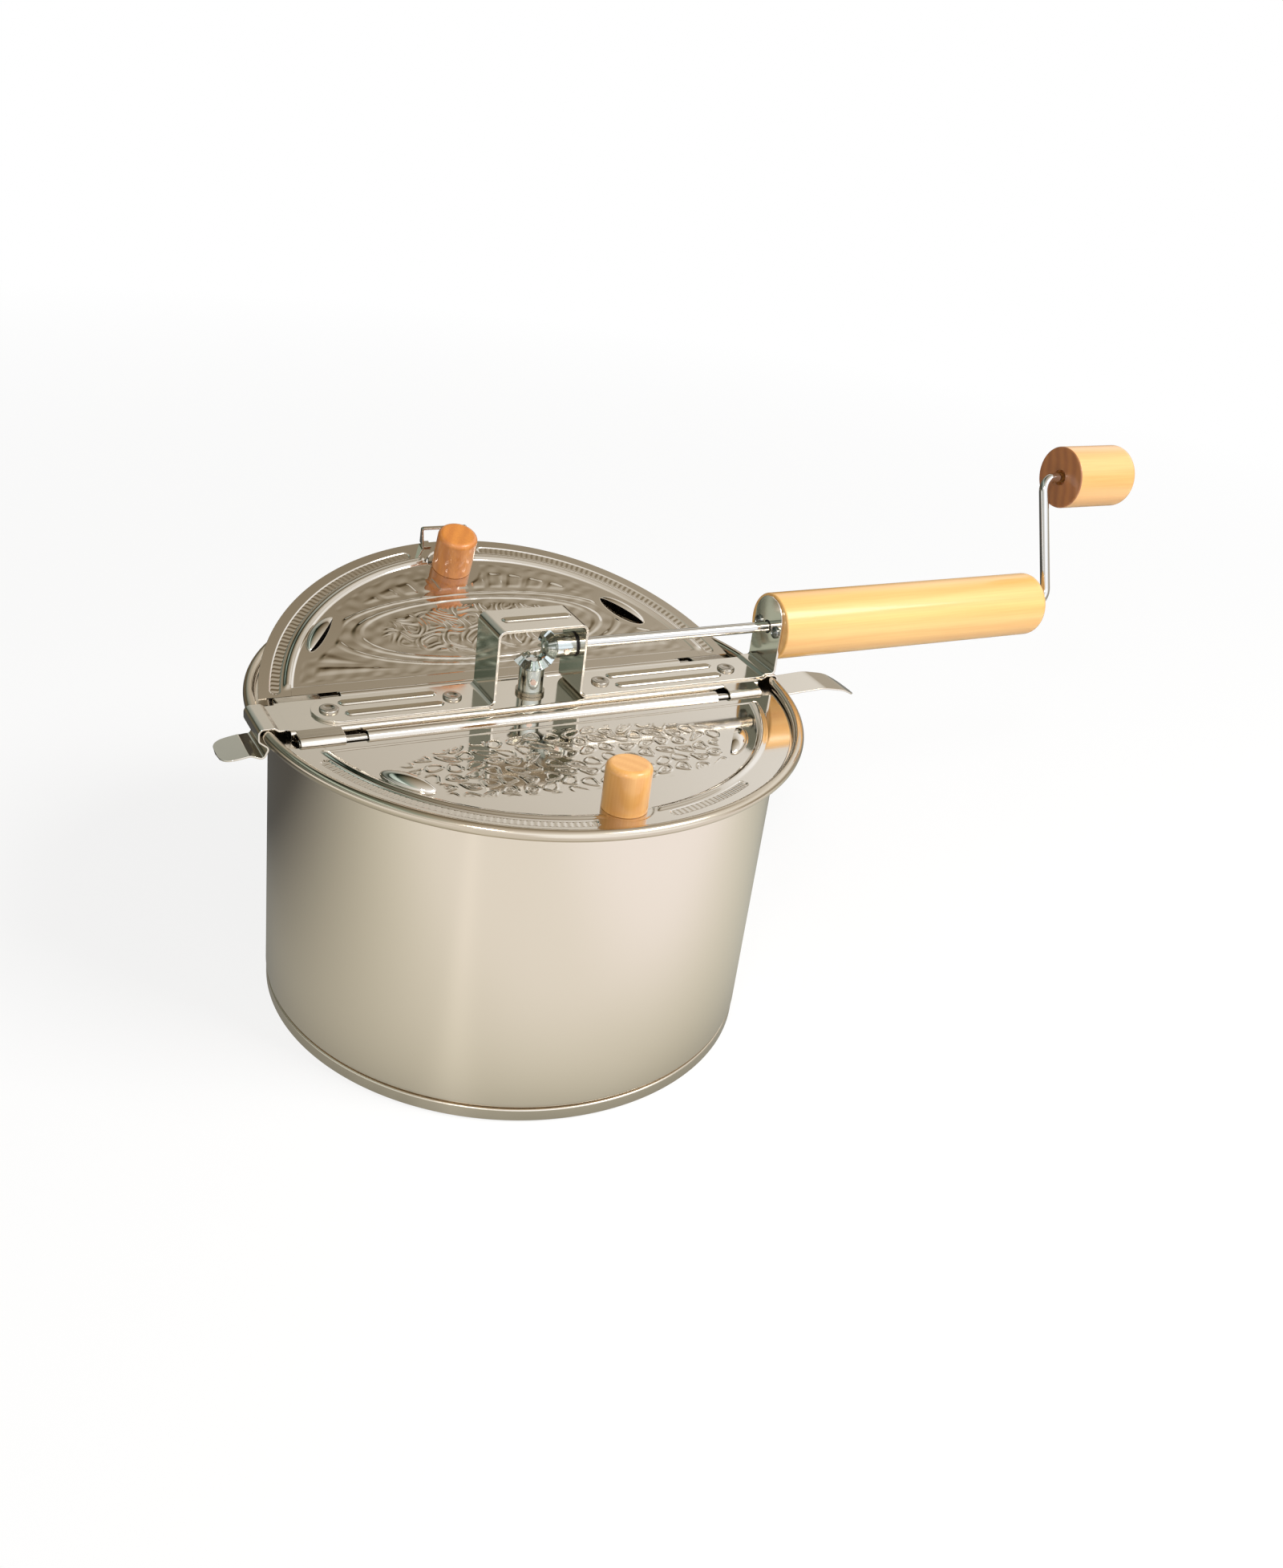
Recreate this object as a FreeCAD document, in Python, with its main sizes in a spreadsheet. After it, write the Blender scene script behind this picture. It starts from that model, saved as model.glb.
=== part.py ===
"""Stovetop popcorn popper: a lidded pot whose stirrer is turned by a crank through two mitre gears.

Millimetres, +Z up. The origin is the middle of the base disc's underside, +X runs along the bridge
plate to the handle and +Y to the back lid. The sheet below holds the driving dimensions. Turned
pieces are PartDesign bodies, pins and washers are Part primitives, and bent sheet, wire and gears
are shapes worked out from the same sheet.
"""
import FreeCAD, Part
import math
import os
import re
import Sketcher
from FreeCAD import Placement, Rotation, Vector

DRIVING_SIZES = [
    # pot
    ("pot_radius", 113.5, "outside of the straight wall"),
    ("pot_wall", 0.8, "sheet of the pot"),
    ("pot_corner", 3.0, "outside radius between floor and wall"),
    ("ledge_height", 145.8, "underside of the ledge that carries the lids"),
    ("bead_radius", 2.5, "outside of the rolled rim bead"),
    ("bead_reach", 8.0, "middle of the bead beyond the wall"),
    ("curl_angle", 205.0, "direction in which the rolled sheet ends, degrees from outward"),
    ("base_thick", 6.5, "base disc"),
    ("base_inset", 0.2, "base disc inside the wall's outside"),
    ("base_edge", 1.6, "radius of the base disc's edges"),
    # fits
    ("seat_gap", 0.05, "between a piece and the seat it rests on"),
    ("running_gap", 0.05, "radial, between a turning pin or shaft and its bore"),
    ("snug_gap", 0.01, "radial, between a fixed pin and its bore"),
    # bridge plate with its clips and tongues
    ("plate_thick", 0.8, "sheet of the bridge plate"),
    ("hump_rise", 1.25, "hump over the bead above the flat plate"),
    ("hump_foot", 9.5, "start of the hump inside the bead's middle"),
    ("hump_top", 6.0, "top of the hump inside the bead's middle"),
    ("plate_half_width", 14.2, "middle to the outside of the turned-down edge"),
    ("plate_end", 9.5, "end of the wide plate inside the bead's middle"),
    ("edge_depth", 4.9, "turned-down edge below the plate's top"),
    ("edge_radius", 1.2, "bend radius of the turned-down edge"),
    ("clip_width", 23.0, "clips and bracket"),
    ("clip_gap", 0.1, "clip outside the bead"),
    ("clip_radius", 1.8, "bend radius of the clips"),
    ("clip_side", 2.3, "end of the clip's upright side below the bead's middle"),
    ("hook_in", 1.3, "hook inside the bead's middle"),
    ("hook_drop", 5.8, "hook below the bead's middle"),
    ("foot_out", 0.9, "clip foot outside the bead's middle"),
    ("foot_drop", 10.1, "clip foot below the bead's middle"),
    ("tongue_width", 20.0, "tongues beyond the clips"),
    ("tongue_root_out", 6.3, "root of a tongue outside the bead's middle"),
    ("tongue_root_drop", 9.2, "root of a tongue below the bead's middle"),
    ("short_tongue_out", 18.1, "tip of the left tongue outside the bead's middle"),
    ("short_tongue_drop", 11.3, "tip of the left tongue below the bead's middle"),
    ("long_tongue_crown_out", 33.0, "crown of the right tongue outside the bead's middle"),
    ("long_tongue_crown_drop", 7.9, "crown of the right tongue below the bead's middle"),
    ("long_tongue_bend_out", 46.0, "last bend of the right tongue outside the bead's middle"),
    ("long_tongue_bend_drop", 10.3, "last bend of the right tongue below the bead's middle"),
    ("long_tongue_out", 54.3, "tip of the right tongue outside the bead's middle"),
    ("long_tongue_drop", 14.6, "tip of the right tongue below the bead's middle"),
    ("long_tongue_radius", 22.0, "bend radius along the right tongue"),
    # hinges
    ("hinge_offset", 18.5, "hinge axes from the middle plane"),
    ("hinge_drop", 3.9, "hinge axes below the plate's top"),
    ("hinge_pin_radius", 1.95, "hinge pins"),
    ("barrel_wall", 0.8, "sheet rolled into barrels and knuckles"),
    ("knuckle_gap", 0.67, "outer ends of the knuckles inside the pot's wall"),
    ("left_knuckle_length", 19.0, "left knuckles"),
    ("right_knuckle_length", 17.0, "right knuckles"),
    ("left_pin_gap", 9.5, "bare pin between left knuckle and barrel"),
    ("right_pin_gap", 6.5, "bare pin between right knuckle and barrel"),
    ("pin_overhang", 0.4, "hinge pin beyond the knuckles"),
    # lids
    ("lid_sheet", 0.6, "sheet of the lids"),
    ("lid_edge_gap", 1.0, "lid's edge inside the bead"),
    ("lid_web", 4.0, "lid's straight edge beyond the hinge axis"),
    ("hinge_band", 4.5, "flat band along the hinge"),
    ("border_width", 10.6, "flat border at the round edge"),
    ("ridge_width", 3.3, "raised ridge inside the border"),
    ("ridge_height", 1.2, "raised ridge above the border"),
    ("panel_depth", 0.5, "pressed panel below the border"),
    ("pad_radius", 12.4, "panel's bay around the knob"),
    ("knob_inset", 18.4, "lid knobs inside the lid's round edge"),
    ("pressing_shift", 2.2, "lids' knobs and louvres to the left of the pot's axis"),
    ("back_lid_ajar", 19.0, "degrees by which the back lid stands open"),
    ("louvre_inset", 21.6, "louvres inside the lid's round edge"),
    ("louvre_angle", 38.0, "louvres from the X axis, degrees"),
    ("louvre_length", 26.0, "louvre"),
    ("louvre_height", 3.6, "louvre above the panel"),
    ("louvre_mouth", 1.6, "louvre's mouth inside its crest"),
    # lid knobs, screws and strap
    ("knob_radius", 9.525, "lid knobs"),
    ("knob_height", 20.0, "lid knobs"),
    ("knob_round", 2.5, "top edge of the lid knobs"),
    ("knob_screw_radius", 1.75, "screws of the lid knobs"),
    ("knob_screw_head", 3.5, "radius of the heads of the lid knobs' screws"),
    ("knob_screw_depth", 13.0, "screws in the wood"),
    ("screw_head_height", 2.0, "heads of the lid knobs' screws"),
    ("washer_radius", 5.0, "washers under the lid knobs' screws"),
    ("washer_thick", 0.8, "washers under the lid knobs' screws"),
    ("strap_inset", 2.4, "middle of the strap's width inside the lid's round edge"),
    ("strap_half_span", 10.0, "feet of the strap's legs from the middle"),
    ("strap_foot", 4.0, "feet of the strap, turned inward"),
    ("strap_flare", 1.5, "top of the strap's legs beyond their feet"),
    ("strap_rise", 11.0, "strap above the lid"),
    ("strap_width", 3.0, "strap"),
    ("strap_thick", 0.8, "strap"),
    # gear bracket that carries the handle
    ("bracket_thick", 1.2, "sheet of the bracket"),
    ("bracket_radius", 3.0, "bend radius of the bracket"),
    ("upright_radius", 1.5, "bend radius at the foot of the upright"),
    ("left_foot_inset", 22.0, "round end of the bracket's left foot inside the bead's middle"),
    ("left_leg", 22.5, "outside of the left leg"),
    ("right_leg", 20.3, "outside of the right leg"),
    ("bracket_rise", 35.6, "top of the bracket above the plate"),
    ("upright_offset", 0.7, "middle of the handle's upright outside the bead's middle"),
    ("hump_lead", 0.4, "bracket's hump starts this much before the plate's"),
    ("rib_radius", 4.0, "curve across the pressed ribs"),
    ("rib_height", 0.8, "pressed ribs"),
    ("rib_spread", 5.0, "foot ribs from the middle plane"),
    ("rib_inset", 8.0, "ends of the foot ribs from the rivets"),
    ("top_rib_half", 14.0, "rib on the bracket's top from the middle"),
    ("rivet_radius", 2.0, "shank of the rivets"),
    ("rivet_head_radius", 4.0, "head of the rivets"),
    ("rivet_head_height", 1.2, "head of the rivets"),
    ("foot_rivet_inset", 7.5, "outer rivet inside the left foot's round end"),
    ("left_rivet_out", 14.5, "inner rivet of the left foot from the left leg"),
    ("right_rivet_out", 14.7, "inner rivet of the right foot from the right leg"),
    ("upright_rivet_inset", 19.5, "outer rivet of the right foot inside the bead's middle"),
    # handle and crank
    ("crank_height", 21.6, "crank axis above the plate"),
    ("upright_rise", 3.5, "middle of the upright's round end above the crank axis"),
    ("grip_radius", 15.875, "handle grip and crank knob"),
    ("grip_length", 161.2, "handle grip"),
    ("grip_bore", 3.0, "radius of the bore through the grip"),
    ("grip_chamfer", 0.8, "inner end of the grip and crank knob"),
    ("grip_round", 5.0, "outer end of the grip and crank knob"),
    ("rod_radius", 2.5, "crank rod"),
    ("rod_bend_radius", 7.0, "bends of the crank rod"),
    ("arm_gap", 11.5, "crank arm beyond the grip"),
    ("arm_length", 64.0, "crank arm"),
    ("arm_lean", 21.6, "crank arm from upright, degrees"),
    ("knob_gap", 11.0, "crank knob beyond the arm"),
    ("crank_knob_length", 40.5, "crank knob"),
    ("knob_recess_radius", 4.0, "recess in the crank knob's inner end"),
    ("knob_recess_depth", 4.0, "recess in the crank knob's inner end"),
    ("nut_radius", 4.5, "push nut on the rod's end"),
    ("nut_thick", 1.2, "push nut on the rod's end"),
    ("nut_room", 1.0, "counterbore around and above the push nut"),
    ("nut_bore_depth", 7.0, "counterbore in the crank knob's outer end"),
    ("handle_screw_spread", 7.3, "handle screws from the middle plane"),
    ("handle_screw_radius", 1.6, "shank of the handle screws"),
    ("handle_screw_length", 18.0, "handle screws in the wood"),
    ("handle_screw_head", 2.9, "radius of the handle screws' heads"),
    ("handle_screw_rise", 1.6, "height of the handle screws' heads"),
    # gears
    ("gear_teeth", 10, "teeth of each mitre gear"),
    ("gear_module", 1.5, "at the outer end of the teeth"),
    ("gear_face", 4.0, "length of the teeth"),
    ("tooth_backlash", 0.45, "tooth thinner than half the pitch"),
    ("tooth_addendum", 1.35, "tooth outside the pitch cone"),
    ("tooth_dedendum", 1.8, "tooth inside the pitch cone"),
    ("tooth_slope", 20.0, "flanks of the teeth, degrees"),
    ("root_bury", 1.5, "blank above the teeth's roots, degrees"),
    ("shaft_set_back", 1.0, "ends of shaft and rod inside the gears' flat ends"),
    ("hub_radius", 5.6, "hubs of both gears"),
    ("cross_pin_radius", 1.3, "pins through the hubs"),
    ("cross_pin_show", 0.65, "ends of the pins beyond the hubs"),
    ("thrust_thick", 1.5, "washer under the stirrer gear"),
    ("thrust_radius", 6.5, "washer under the stirrer gear"),
    ("leg_washer_thick", 0.8, "washer between crank gear and leg"),
    ("axial_gap", 0.1, "end play of a gear's washer"),
    ("stirrer_pin_turn", 14.5, "stirrer gear's pin from the Y axis, degrees"),
    ("crank_pin_turn", 8.0, "crank gear's pin from the Y axis, degrees"),
    # stirrer
    ("shaft_radius", 3.0, "stirrer shaft"),
    ("bushing_radius", 5.0, "sleeve of the bushing in the plate"),
    ("bushing_flange", 7.0, "radius of the bushing's flange under the plate"),
    ("bushing_length", 8.0, "bushing below the plate's top"),
    ("flange_thick", 1.0, "bushing's flange"),
    ("shaft_floor_gap", 1.5, "shaft's end above the pot's floor"),
    ("hub_block_radius", 7.0, "stirrer hub"),
    ("hub_block_height", 12.0, "stirrer hub"),
    ("hub_block_lift", 1.0, "stirrer hub above the shaft's end"),
    ("wire_radius", 1.5, "stirrer wires"),
    ("wire_floor_gap", 1.8, "stirrer wires above the floor"),
    ("wire_bend_radius", 5.0, "bends of the stirrer wires"),
    ("wire_landing", 20.0, "where the stirrer wires come down, from the hub"),
    ("wire_wall_gap", 14.7, "stirrer wires inside the pot's wall"),
    ("wire_tip_rise", 16.0, "upturned ends of the stirrer wires"),
    ("wire_turn", 60.0, "first stirrer wire from the X axis, degrees"),
]

os.makedirs("parts", exist_ok=True)
doc = FreeCAD.newDocument("popcorn_popper")
sheet = doc.addObject("Spreadsheet::Sheet", "Sizes")
for row, (alias, value, meaning) in enumerate(DRIVING_SIZES, start=1):
    sheet.set("A%d" % row, meaning)
    sheet.set("B%d" % row, str(value))
    sheet.setAlias("B%d" % row, alias)
doc.recompute()

ALIASES = {alias for alias, _value, _meaning in DRIVING_SIZES}
X_AXIS = Vector(1, 0, 0)
Y_AXIS = Vector(0, 1, 0)
Z_AXIS = Vector(0, 0, 1)
ALONG_X = Rotation(Y_AXIS, 90)          # a piece's own Z axis turned to +X
PAST_ALL = 500.0                        # longer than any piece, for cutting tools
nodes = {}                              # node name: the object that is written


class SheetReader:
    """The sheet's values as plain numbers, by alias."""

    def __getattr__(self, alias):
        return float(sheet.get(alias))


dim = SheetReader()


# ---------------------------------------------------------------- expressions and placing

DERIVED = {
    "bead_middle": "(pot_radius + bead_reach)",
    "bead_height": "(ledge_height + bead_radius)",
    "plate_top": "(ledge_height + 2 * bead_radius + seat_gap + plate_thick - hump_rise)",
    "crank_axis": "(plate_top + crank_height)",
    "hinge_axis": "(plate_top - hinge_drop)",
    "lid_bottom": "(ledge_height + pot_wall + seat_gap)",
    "panel_bottom": "(lid_bottom - panel_depth)",
    "upright_outside": "(bead_middle + upright_offset + bracket_thick / 2)",
    "arm_place": "(upright_outside + grip_length + arm_gap)",
    "floor_top": "(base_thick + pot_wall)",
    "gear_hub_foot": "(plate_top + axial_gap + thrust_thick)",
    "pin_bore": "(hinge_pin_radius + running_gap)",
    "knuckle_end": "(sqrt((pot_radius - pot_wall)^2 - (hinge_offset + pin_bore + barrel_wall)^2) - knuckle_gap)",
    "pin_end": "(knuckle_end + pin_overhang)",
    "barrel_left": "(knuckle_end - left_knuckle_length - left_pin_gap)",
    "barrel_right": "(knuckle_end - right_knuckle_length - right_pin_gap)",
    "lid_radius": "(bead_middle - bead_radius - lid_edge_gap)",
    "foot_end": "(bead_middle - left_foot_inset)",
}


def bound(text):
    """An expression written with aliases and derived names, as the document's engine reads it."""
    while any(re.search(r"\b%s\b" % name, text) for name in DERIVED):
        text = re.sub(r"\b[a-z_]+\b", lambda word: DERIVED.get(word.group(), word.group()), text)
    return re.sub(r"\b[a-z_]+\b", lambda w: "Sizes." + w.group() if w.group() in ALIASES else w.group(), text)


def worth(text):
    """The value of such an expression."""
    return float(sheet.evalExpression(bound(text)))


def put(piece, x="0", y="0", z="0", rotation=None):
    """Turn a piece and bind its place to the sheet."""
    if rotation is not None:
        piece.Placement = Placement(Vector(0, 0, 0), rotation)
    for direction, text in (("x", x), ("y", y), ("z", z)):
        if text != "0":
            piece.setExpression("Placement.Base." + direction, bound(text))


def keep(name, piece):
    """Note a finished piece under its node name."""
    piece.Label = name
    nodes[name] = piece
    return piece


def shaped(name, shape, placement=None):
    """Keep a piece whose shape is worked out from the sheet."""
    piece = doc.addObject("Part::Feature", name)
    piece.Shape = shape
    if placement is not None:
        piece.Placement = placement
    return keep(name, piece)


# ---------------------------------------------------------------- turned bodies and primitives

def corner(x, z):
    """A corner of a half section, reached by a straight line."""
    return (x, z, None, None)


def curve(x, z, radius, via):
    """A corner of a half section, reached by an arc of this radius through the point via."""
    return (x, z, radius, via)


def outer_rounding(x, z, radius, centre, upward=True):
    """A corner reached by a quarter arc on the outward side of its centre, above or below it."""
    via_x = "%s + (%s) * cos(45 deg)" % (centre[0], radius)
    via_z = "%s %s (%s) * sin(45 deg)" % (centre[1], "+" if upward else "-", radius)
    return curve(x, z, radius, (via_x, via_z))


def draw_section(sketch, section):
    """Draw a closed half section whose corners and radii follow the sheet."""
    places = [Vector(worth(x), worth(z), 0) for x, z, _radius, _via in section]
    ends = []
    for index, place in enumerate(places):
        following = (index + 1) % len(places)
        _x, _z, radius, via = section[following]
        if radius is None:
            sketch.addGeometry(Part.LineSegment(place, places[following]))
            ends.append((1, 2))
            continue
        middle = Vector(worth(via[0]), worth(via[1]), 0)
        leftward = (middle - place).cross(places[following] - middle).z > 0
        sketch.addGeometry(Part.Arc(place, middle, places[following]))
        ends.append((1, 2) if leftward else (2, 1))
        bind_constraint(sketch, radius, "Radius", index)
    for index in range(len(places)):
        following = (index + 1) % len(places)
        first, last = ends[index][0], ends[index][1]
        sketch.addConstraint(Sketcher.Constraint("Coincident", index, last, following, ends[following][0]))
        x, z = section[index][:2]
        for text, kind, axis in ((x, "DistanceX", -2), (z, "DistanceY", -1)):
            if text == "0":
                sketch.addConstraint(Sketcher.Constraint("PointOnObject", index, first, axis))
            else:
                bind_constraint(sketch, text, kind, -1, 1, index, first)


def bind_constraint(sketch, text, kind, *where):
    """Add a dimension to a sketch and bind it to the sheet."""
    number = sketch.addConstraint(Sketcher.Constraint(kind, *where, worth(text)))
    sketch.setExpression("Constraints[%d]" % number, bound(text))


def turned(name, section):
    """A body turned about its own Z axis from a half section (radius, height)."""
    body = doc.addObject("PartDesign::Body", name)
    sketch = body.newObject("Sketcher::SketchObject", name + "_section")
    plane = next(part for part in body.Origin.OriginFeatures if part.Role == "XZ_Plane")
    sketch.AttachmentSupport = [(plane, "")]
    sketch.MapMode = "FlatFace"
    draw_section(sketch, section)
    turn = body.newObject("PartDesign::Revolution", name + "_turn")
    turn.Profile = sketch
    turn.ReferenceAxis = (sketch, ["V_Axis"])
    turn.Angle = 360
    sketch.Visibility = False
    return keep(name, body)


def cylinder(name, radius, height):
    """A plain cylinder whose sizes follow the sheet."""
    piece = doc.addObject("Part::Cylinder", name)
    piece.setExpression("Radius", bound(radius))
    piece.setExpression("Height", bound(height))
    return piece


def washer(name, radius, bore, thick):
    """A flat ring standing on its own XY plane."""
    ring = doc.addObject("Part::Cut", name)
    ring.Base = cylinder(name + "_disc", radius, thick)
    ring.Tool = cylinder(name + "_bore", bore, thick)
    return keep(name, ring)


# ---------------------------------------------------------------- bent sheet and wire

def bend_arcs(points, radii):
    """Start, middle, end and centre of the tangent arc at each inner point of a path."""
    arcs = []
    for before, at, after, radius in zip(points, points[1:], points[2:], radii):
        into = (at - before).normalize()
        out = (after - at).normalize()
        half_turn = into.getAngle(out) / 2
        back = radius * math.tan(half_turn)
        start = at - into * back
        end = at + out * back
        centre = at + (out - into).normalize() * (radius / math.cos(half_turn))
        arcs.append((start, centre + (at - centre).normalize() * radius, end, centre))
    return arcs


def sheet_strip(outline, radii, thickness, low, high, across=Y_AXIS):
    """Sheet of even thickness bent along a path of (level, height) points, from low to high across."""
    level = X_AXIS if across == Y_AXIS else Y_AXIS
    points = [level * u + Z_AXIS * w for u, w in outline]
    arcs = bend_arcs(points, radii)
    edges = []
    ends = {}
    for side in (1, -1):
        offset = side * thickness / 2
        first = (points[1] - points[0]).normalize().cross(across) * offset
        last = (points[-1] - points[-2]).normalize().cross(across) * offset
        here = points[0] + first
        ends[side] = [here]
        for (start, middle, end, centre), before, at in zip(arcs, points, points[1:]):
            toward = (at - before).normalize().cross(across)
            radius = (start - centre).Length
            inward = 1 if toward.dot(start - centre) > 0 else -1
            scale = (radius + inward * offset) / radius
            moved = [centre + (spot - centre) * scale for spot in (start, middle, end)]
            edges.append(Part.LineSegment(here, moved[0]).toShape())
            edges.append(Part.Arc(*moved).toShape())
            here = moved[2]
        edges.append(Part.LineSegment(here, points[-1] + last).toShape())
        ends[side].append(points[-1] + last)
    edges.append(Part.LineSegment(ends[1][0], ends[-1][0]).toShape())
    edges.append(Part.LineSegment(ends[1][1], ends[-1][1]).toShape())
    face = Part.Face(Part.Wire(Part.__sortEdges__(edges)))
    face.translate(across * low)
    return face.extrude(across * (high - low))


def bent_wire(points, radii, radius):
    """Round wire along a path, each corner a tangent arc."""
    path = []
    here = points[0]
    for start, middle, end, _centre in bend_arcs(points, radii):
        path.append(Part.LineSegment(here, start).toShape())
        path.append(Part.Arc(start, middle, end).toShape())
        here = end
    path.append(Part.LineSegment(here, points[-1]).toShape())
    section = Part.Wire(Part.makeCircle(radius, points[0], points[1] - points[0]))
    return Part.Wire(path).makePipeShell([section], True, False)


def rod(radius, start, end):
    """A round bar between two points."""
    return Part.makeCylinder(radius, (end - start).Length, start, end - start)


def tube(outside, bore, start, end):
    """A round tube between two points."""
    return rod(outside, start, end).cut(rod(bore, start, end))


def box(x, y, z):
    """A box between two values on each axis."""
    size = [high - low for low, high in (x, y, z)]
    return Part.makeBox(*size, Vector(x[0], y[0], z[0]))


def dome(radius, height):
    """A low spherical cap standing on its own XY plane."""
    ball_radius = (radius ** 2 + height ** 2) / (2 * height)
    ball = Part.makeSphere(ball_radius, Vector(0, 0, height - ball_radius))
    return ball.common(Part.makeCylinder(radius, height))


# ---------------------------------------------------------------- pot

def make_pot():
    """Base disc, and the drawn pot with its ledge and rolled bead."""
    turned("base_disc", [
        corner("0", "0"),
        corner("pot_radius - base_inset - base_edge", "0"),
        outer_rounding("pot_radius - base_inset", "base_edge", "base_edge",
                       ("pot_radius - base_inset - base_edge", "base_edge"), upward=False),
        corner("pot_radius - base_inset", "base_thick - base_edge / 2"),
        corner("pot_radius - base_inset - base_edge / 2", "base_thick"),
        corner("0", "base_thick"),
    ])
    inner_curl = "(bead_radius - pot_wall)"
    half_curl = "((curl_angle - 90) / 2 * 1 deg)"
    turned("pot_body", [
        corner("0", "base_thick"),
        corner("pot_radius - pot_corner", "base_thick"),
        outer_rounding("pot_radius", "base_thick + pot_corner", "pot_corner",
                       ("pot_radius - pot_corner", "base_thick + pot_corner"), upward=False),
        corner("pot_radius", "ledge_height"),
        corner("bead_middle", "ledge_height"),
        curve("bead_middle + bead_radius * cos(curl_angle * 1 deg)",
              "bead_height + bead_radius * sin(curl_angle * 1 deg)", "bead_radius",
              ("bead_middle + bead_radius * cos(%s)" % half_curl,
               "bead_height + bead_radius * sin(%s)" % half_curl)),
        corner("bead_middle + %s * cos(curl_angle * 1 deg)" % inner_curl,
               "bead_height + %s * sin(curl_angle * 1 deg)" % inner_curl),
        curve("bead_middle", "ledge_height + pot_wall", inner_curl,
              ("bead_middle + %s * cos(%s)" % (inner_curl, half_curl),
               "bead_height + %s * sin(%s)" % (inner_curl, half_curl))),
        corner("pot_radius - pot_wall", "ledge_height + pot_wall"),
        corner("pot_radius - pot_wall", "base_thick + pot_corner"),
        outer_rounding("pot_radius - pot_corner", "floor_top", "pot_corner - pot_wall",
                       ("pot_radius - pot_corner", "base_thick + pot_corner"), upward=False),
        corner("0", "floor_top"),
    ])


# ---------------------------------------------------------------- bridge plate

def rivet_places():
    """X of each rivet through bracket and plate."""
    return (dim.foot_rivet_inset - worth("foot_end"), -dim.left_leg - dim.left_rivet_out,
            dim.right_leg + dim.right_rivet_out, worth("bead_middle - upright_rivet_inset"))


def knuckle_spans():
    """X range of each end knuckle."""
    end = worth("knuckle_end")
    return (-end, dim.left_knuckle_length - end), (end - dim.right_knuckle_length, end)


def clip_path(side, tongue):
    """Middle line of one clip and tongue from the flat plate outward, on the side -1 or +1."""
    bead_x = worth("bead_middle")
    bead_z = worth("bead_height")
    plate_middle = worth("plate_top - plate_thick / 2")
    hump = plate_middle + dim.hump_rise
    out = bead_x + dim.bead_radius + dim.clip_gap + dim.plate_thick / 2
    path = [
        (bead_x - dim.hump_foot, plate_middle),
        (bead_x - dim.hump_top, hump),
        (out, hump),
        (out, bead_z - dim.clip_side),
        (bead_x - dim.hook_in, bead_z - dim.hook_drop),
        (bead_x + dim.foot_out, bead_z - dim.foot_drop),
        (bead_x + dim.tongue_root_out, bead_z - dim.tongue_root_drop),
    ]
    path += [(bead_x + reach, bead_z - drop) for reach, drop in tongue]
    return [(side * x, z) for x, z in path]


def tongue_outline(tip, side):
    """Plan of a tongue with its round end, as a tall prism."""
    half = dim.tongue_width / 2
    inner = worth("bead_middle") + dim.foot_out
    end = abs(tip) - half
    tall = (0.0, PAST_ALL)
    stem = box(sorted((side * inner, side * end)), (-half, half), tall)
    return stem.fuse(Part.makeCylinder(half, PAST_ALL, Vector(side * end, 0, 0)))


def make_bridge_plate():
    """One sheet: flat plate, turned-down edges, end knuckles, clips over the bead and tongues."""
    top = worth("plate_top")
    middle = top - dim.plate_thick / 2
    bead_x = worth("bead_middle")
    half_clip = dim.clip_width / 2
    left = clip_path(-1, [(dim.short_tongue_out, dim.short_tongue_drop)])
    right = clip_path(1, [(dim.long_tongue_crown_out, dim.long_tongue_crown_drop),
                          (dim.long_tongue_bend_out, dim.long_tongue_bend_drop),
                          (dim.long_tongue_out, dim.long_tongue_drop)])
    path = left[::-1] + right
    left_bends = [dim.clip_radius] * (len(left) - 1)
    right_bends = [dim.clip_radius] * (len(right) - 4) + [dim.long_tongue_radius] * 2
    strip = sheet_strip(path, left_bends + [dim.clip_radius] + right_bends, dim.plate_thick, -half_clip, half_clip)
    clip_end = bead_x + dim.tongue_root_out
    outline = box((-clip_end, clip_end), (-half_clip, half_clip), (0.0, PAST_ALL))
    outline = outline.fuse([tongue_outline(left[-1][0], -1), tongue_outline(right[-1][0], 1)])
    strip = strip.common(outline)

    plate_end = bead_x - dim.plate_end
    straight = dim.plate_half_width - dim.plate_thick / 2
    flat_half = straight - dim.edge_radius
    pieces = [box((-plate_end, plate_end), (-flat_half, flat_half), (top - dim.plate_thick, top))]
    knuckles = knuckle_spans()
    barrel_radius = worth("pin_bore + barrel_wall")
    barrel_middle = worth("pin_bore + barrel_wall / 2")
    axis_z = worth("hinge_axis")
    for side in (-1, 1):
        edge = [(side * flat_half / 2, middle), (side * straight, middle), (side * straight, top - dim.edge_depth)]
        pieces.append(sheet_strip(edge, [dim.edge_radius], dim.plate_thick, knuckles[0][0], knuckles[1][1], X_AXIS))
        hinge_y = side * dim.hinge_offset
        for low, high in knuckles:
            pieces.append(rod(barrel_radius, Vector(low, hinge_y, axis_z), Vector(high, hinge_y, axis_z)))
            web = [(side * flat_half / 2, middle), (side * flat_half, middle), (hinge_y, axis_z + barrel_middle)]
            pieces.append(sheet_strip(web, [dim.edge_radius], dim.plate_thick, low, high, X_AXIS))
    plate = strip.fuse(pieces)
    holes = [rod(dim.rivet_radius + dim.snug_gap, Vector(x, 0, 0), Vector(x, 0, PAST_ALL))
             for x in rivet_places()]
    holes.append(rod(dim.bushing_radius + dim.snug_gap, Vector(0, 0, 0), Vector(0, 0, PAST_ALL)))
    for side in (-1, 1):
        hinge_y = side * dim.hinge_offset
        holes.append(rod(worth("pin_bore"), Vector(-PAST_ALL, hinge_y, axis_z), Vector(PAST_ALL, hinge_y, axis_z)))
    shaped("bridge_plate", plate.cut(holes).removeSplitter())


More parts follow.
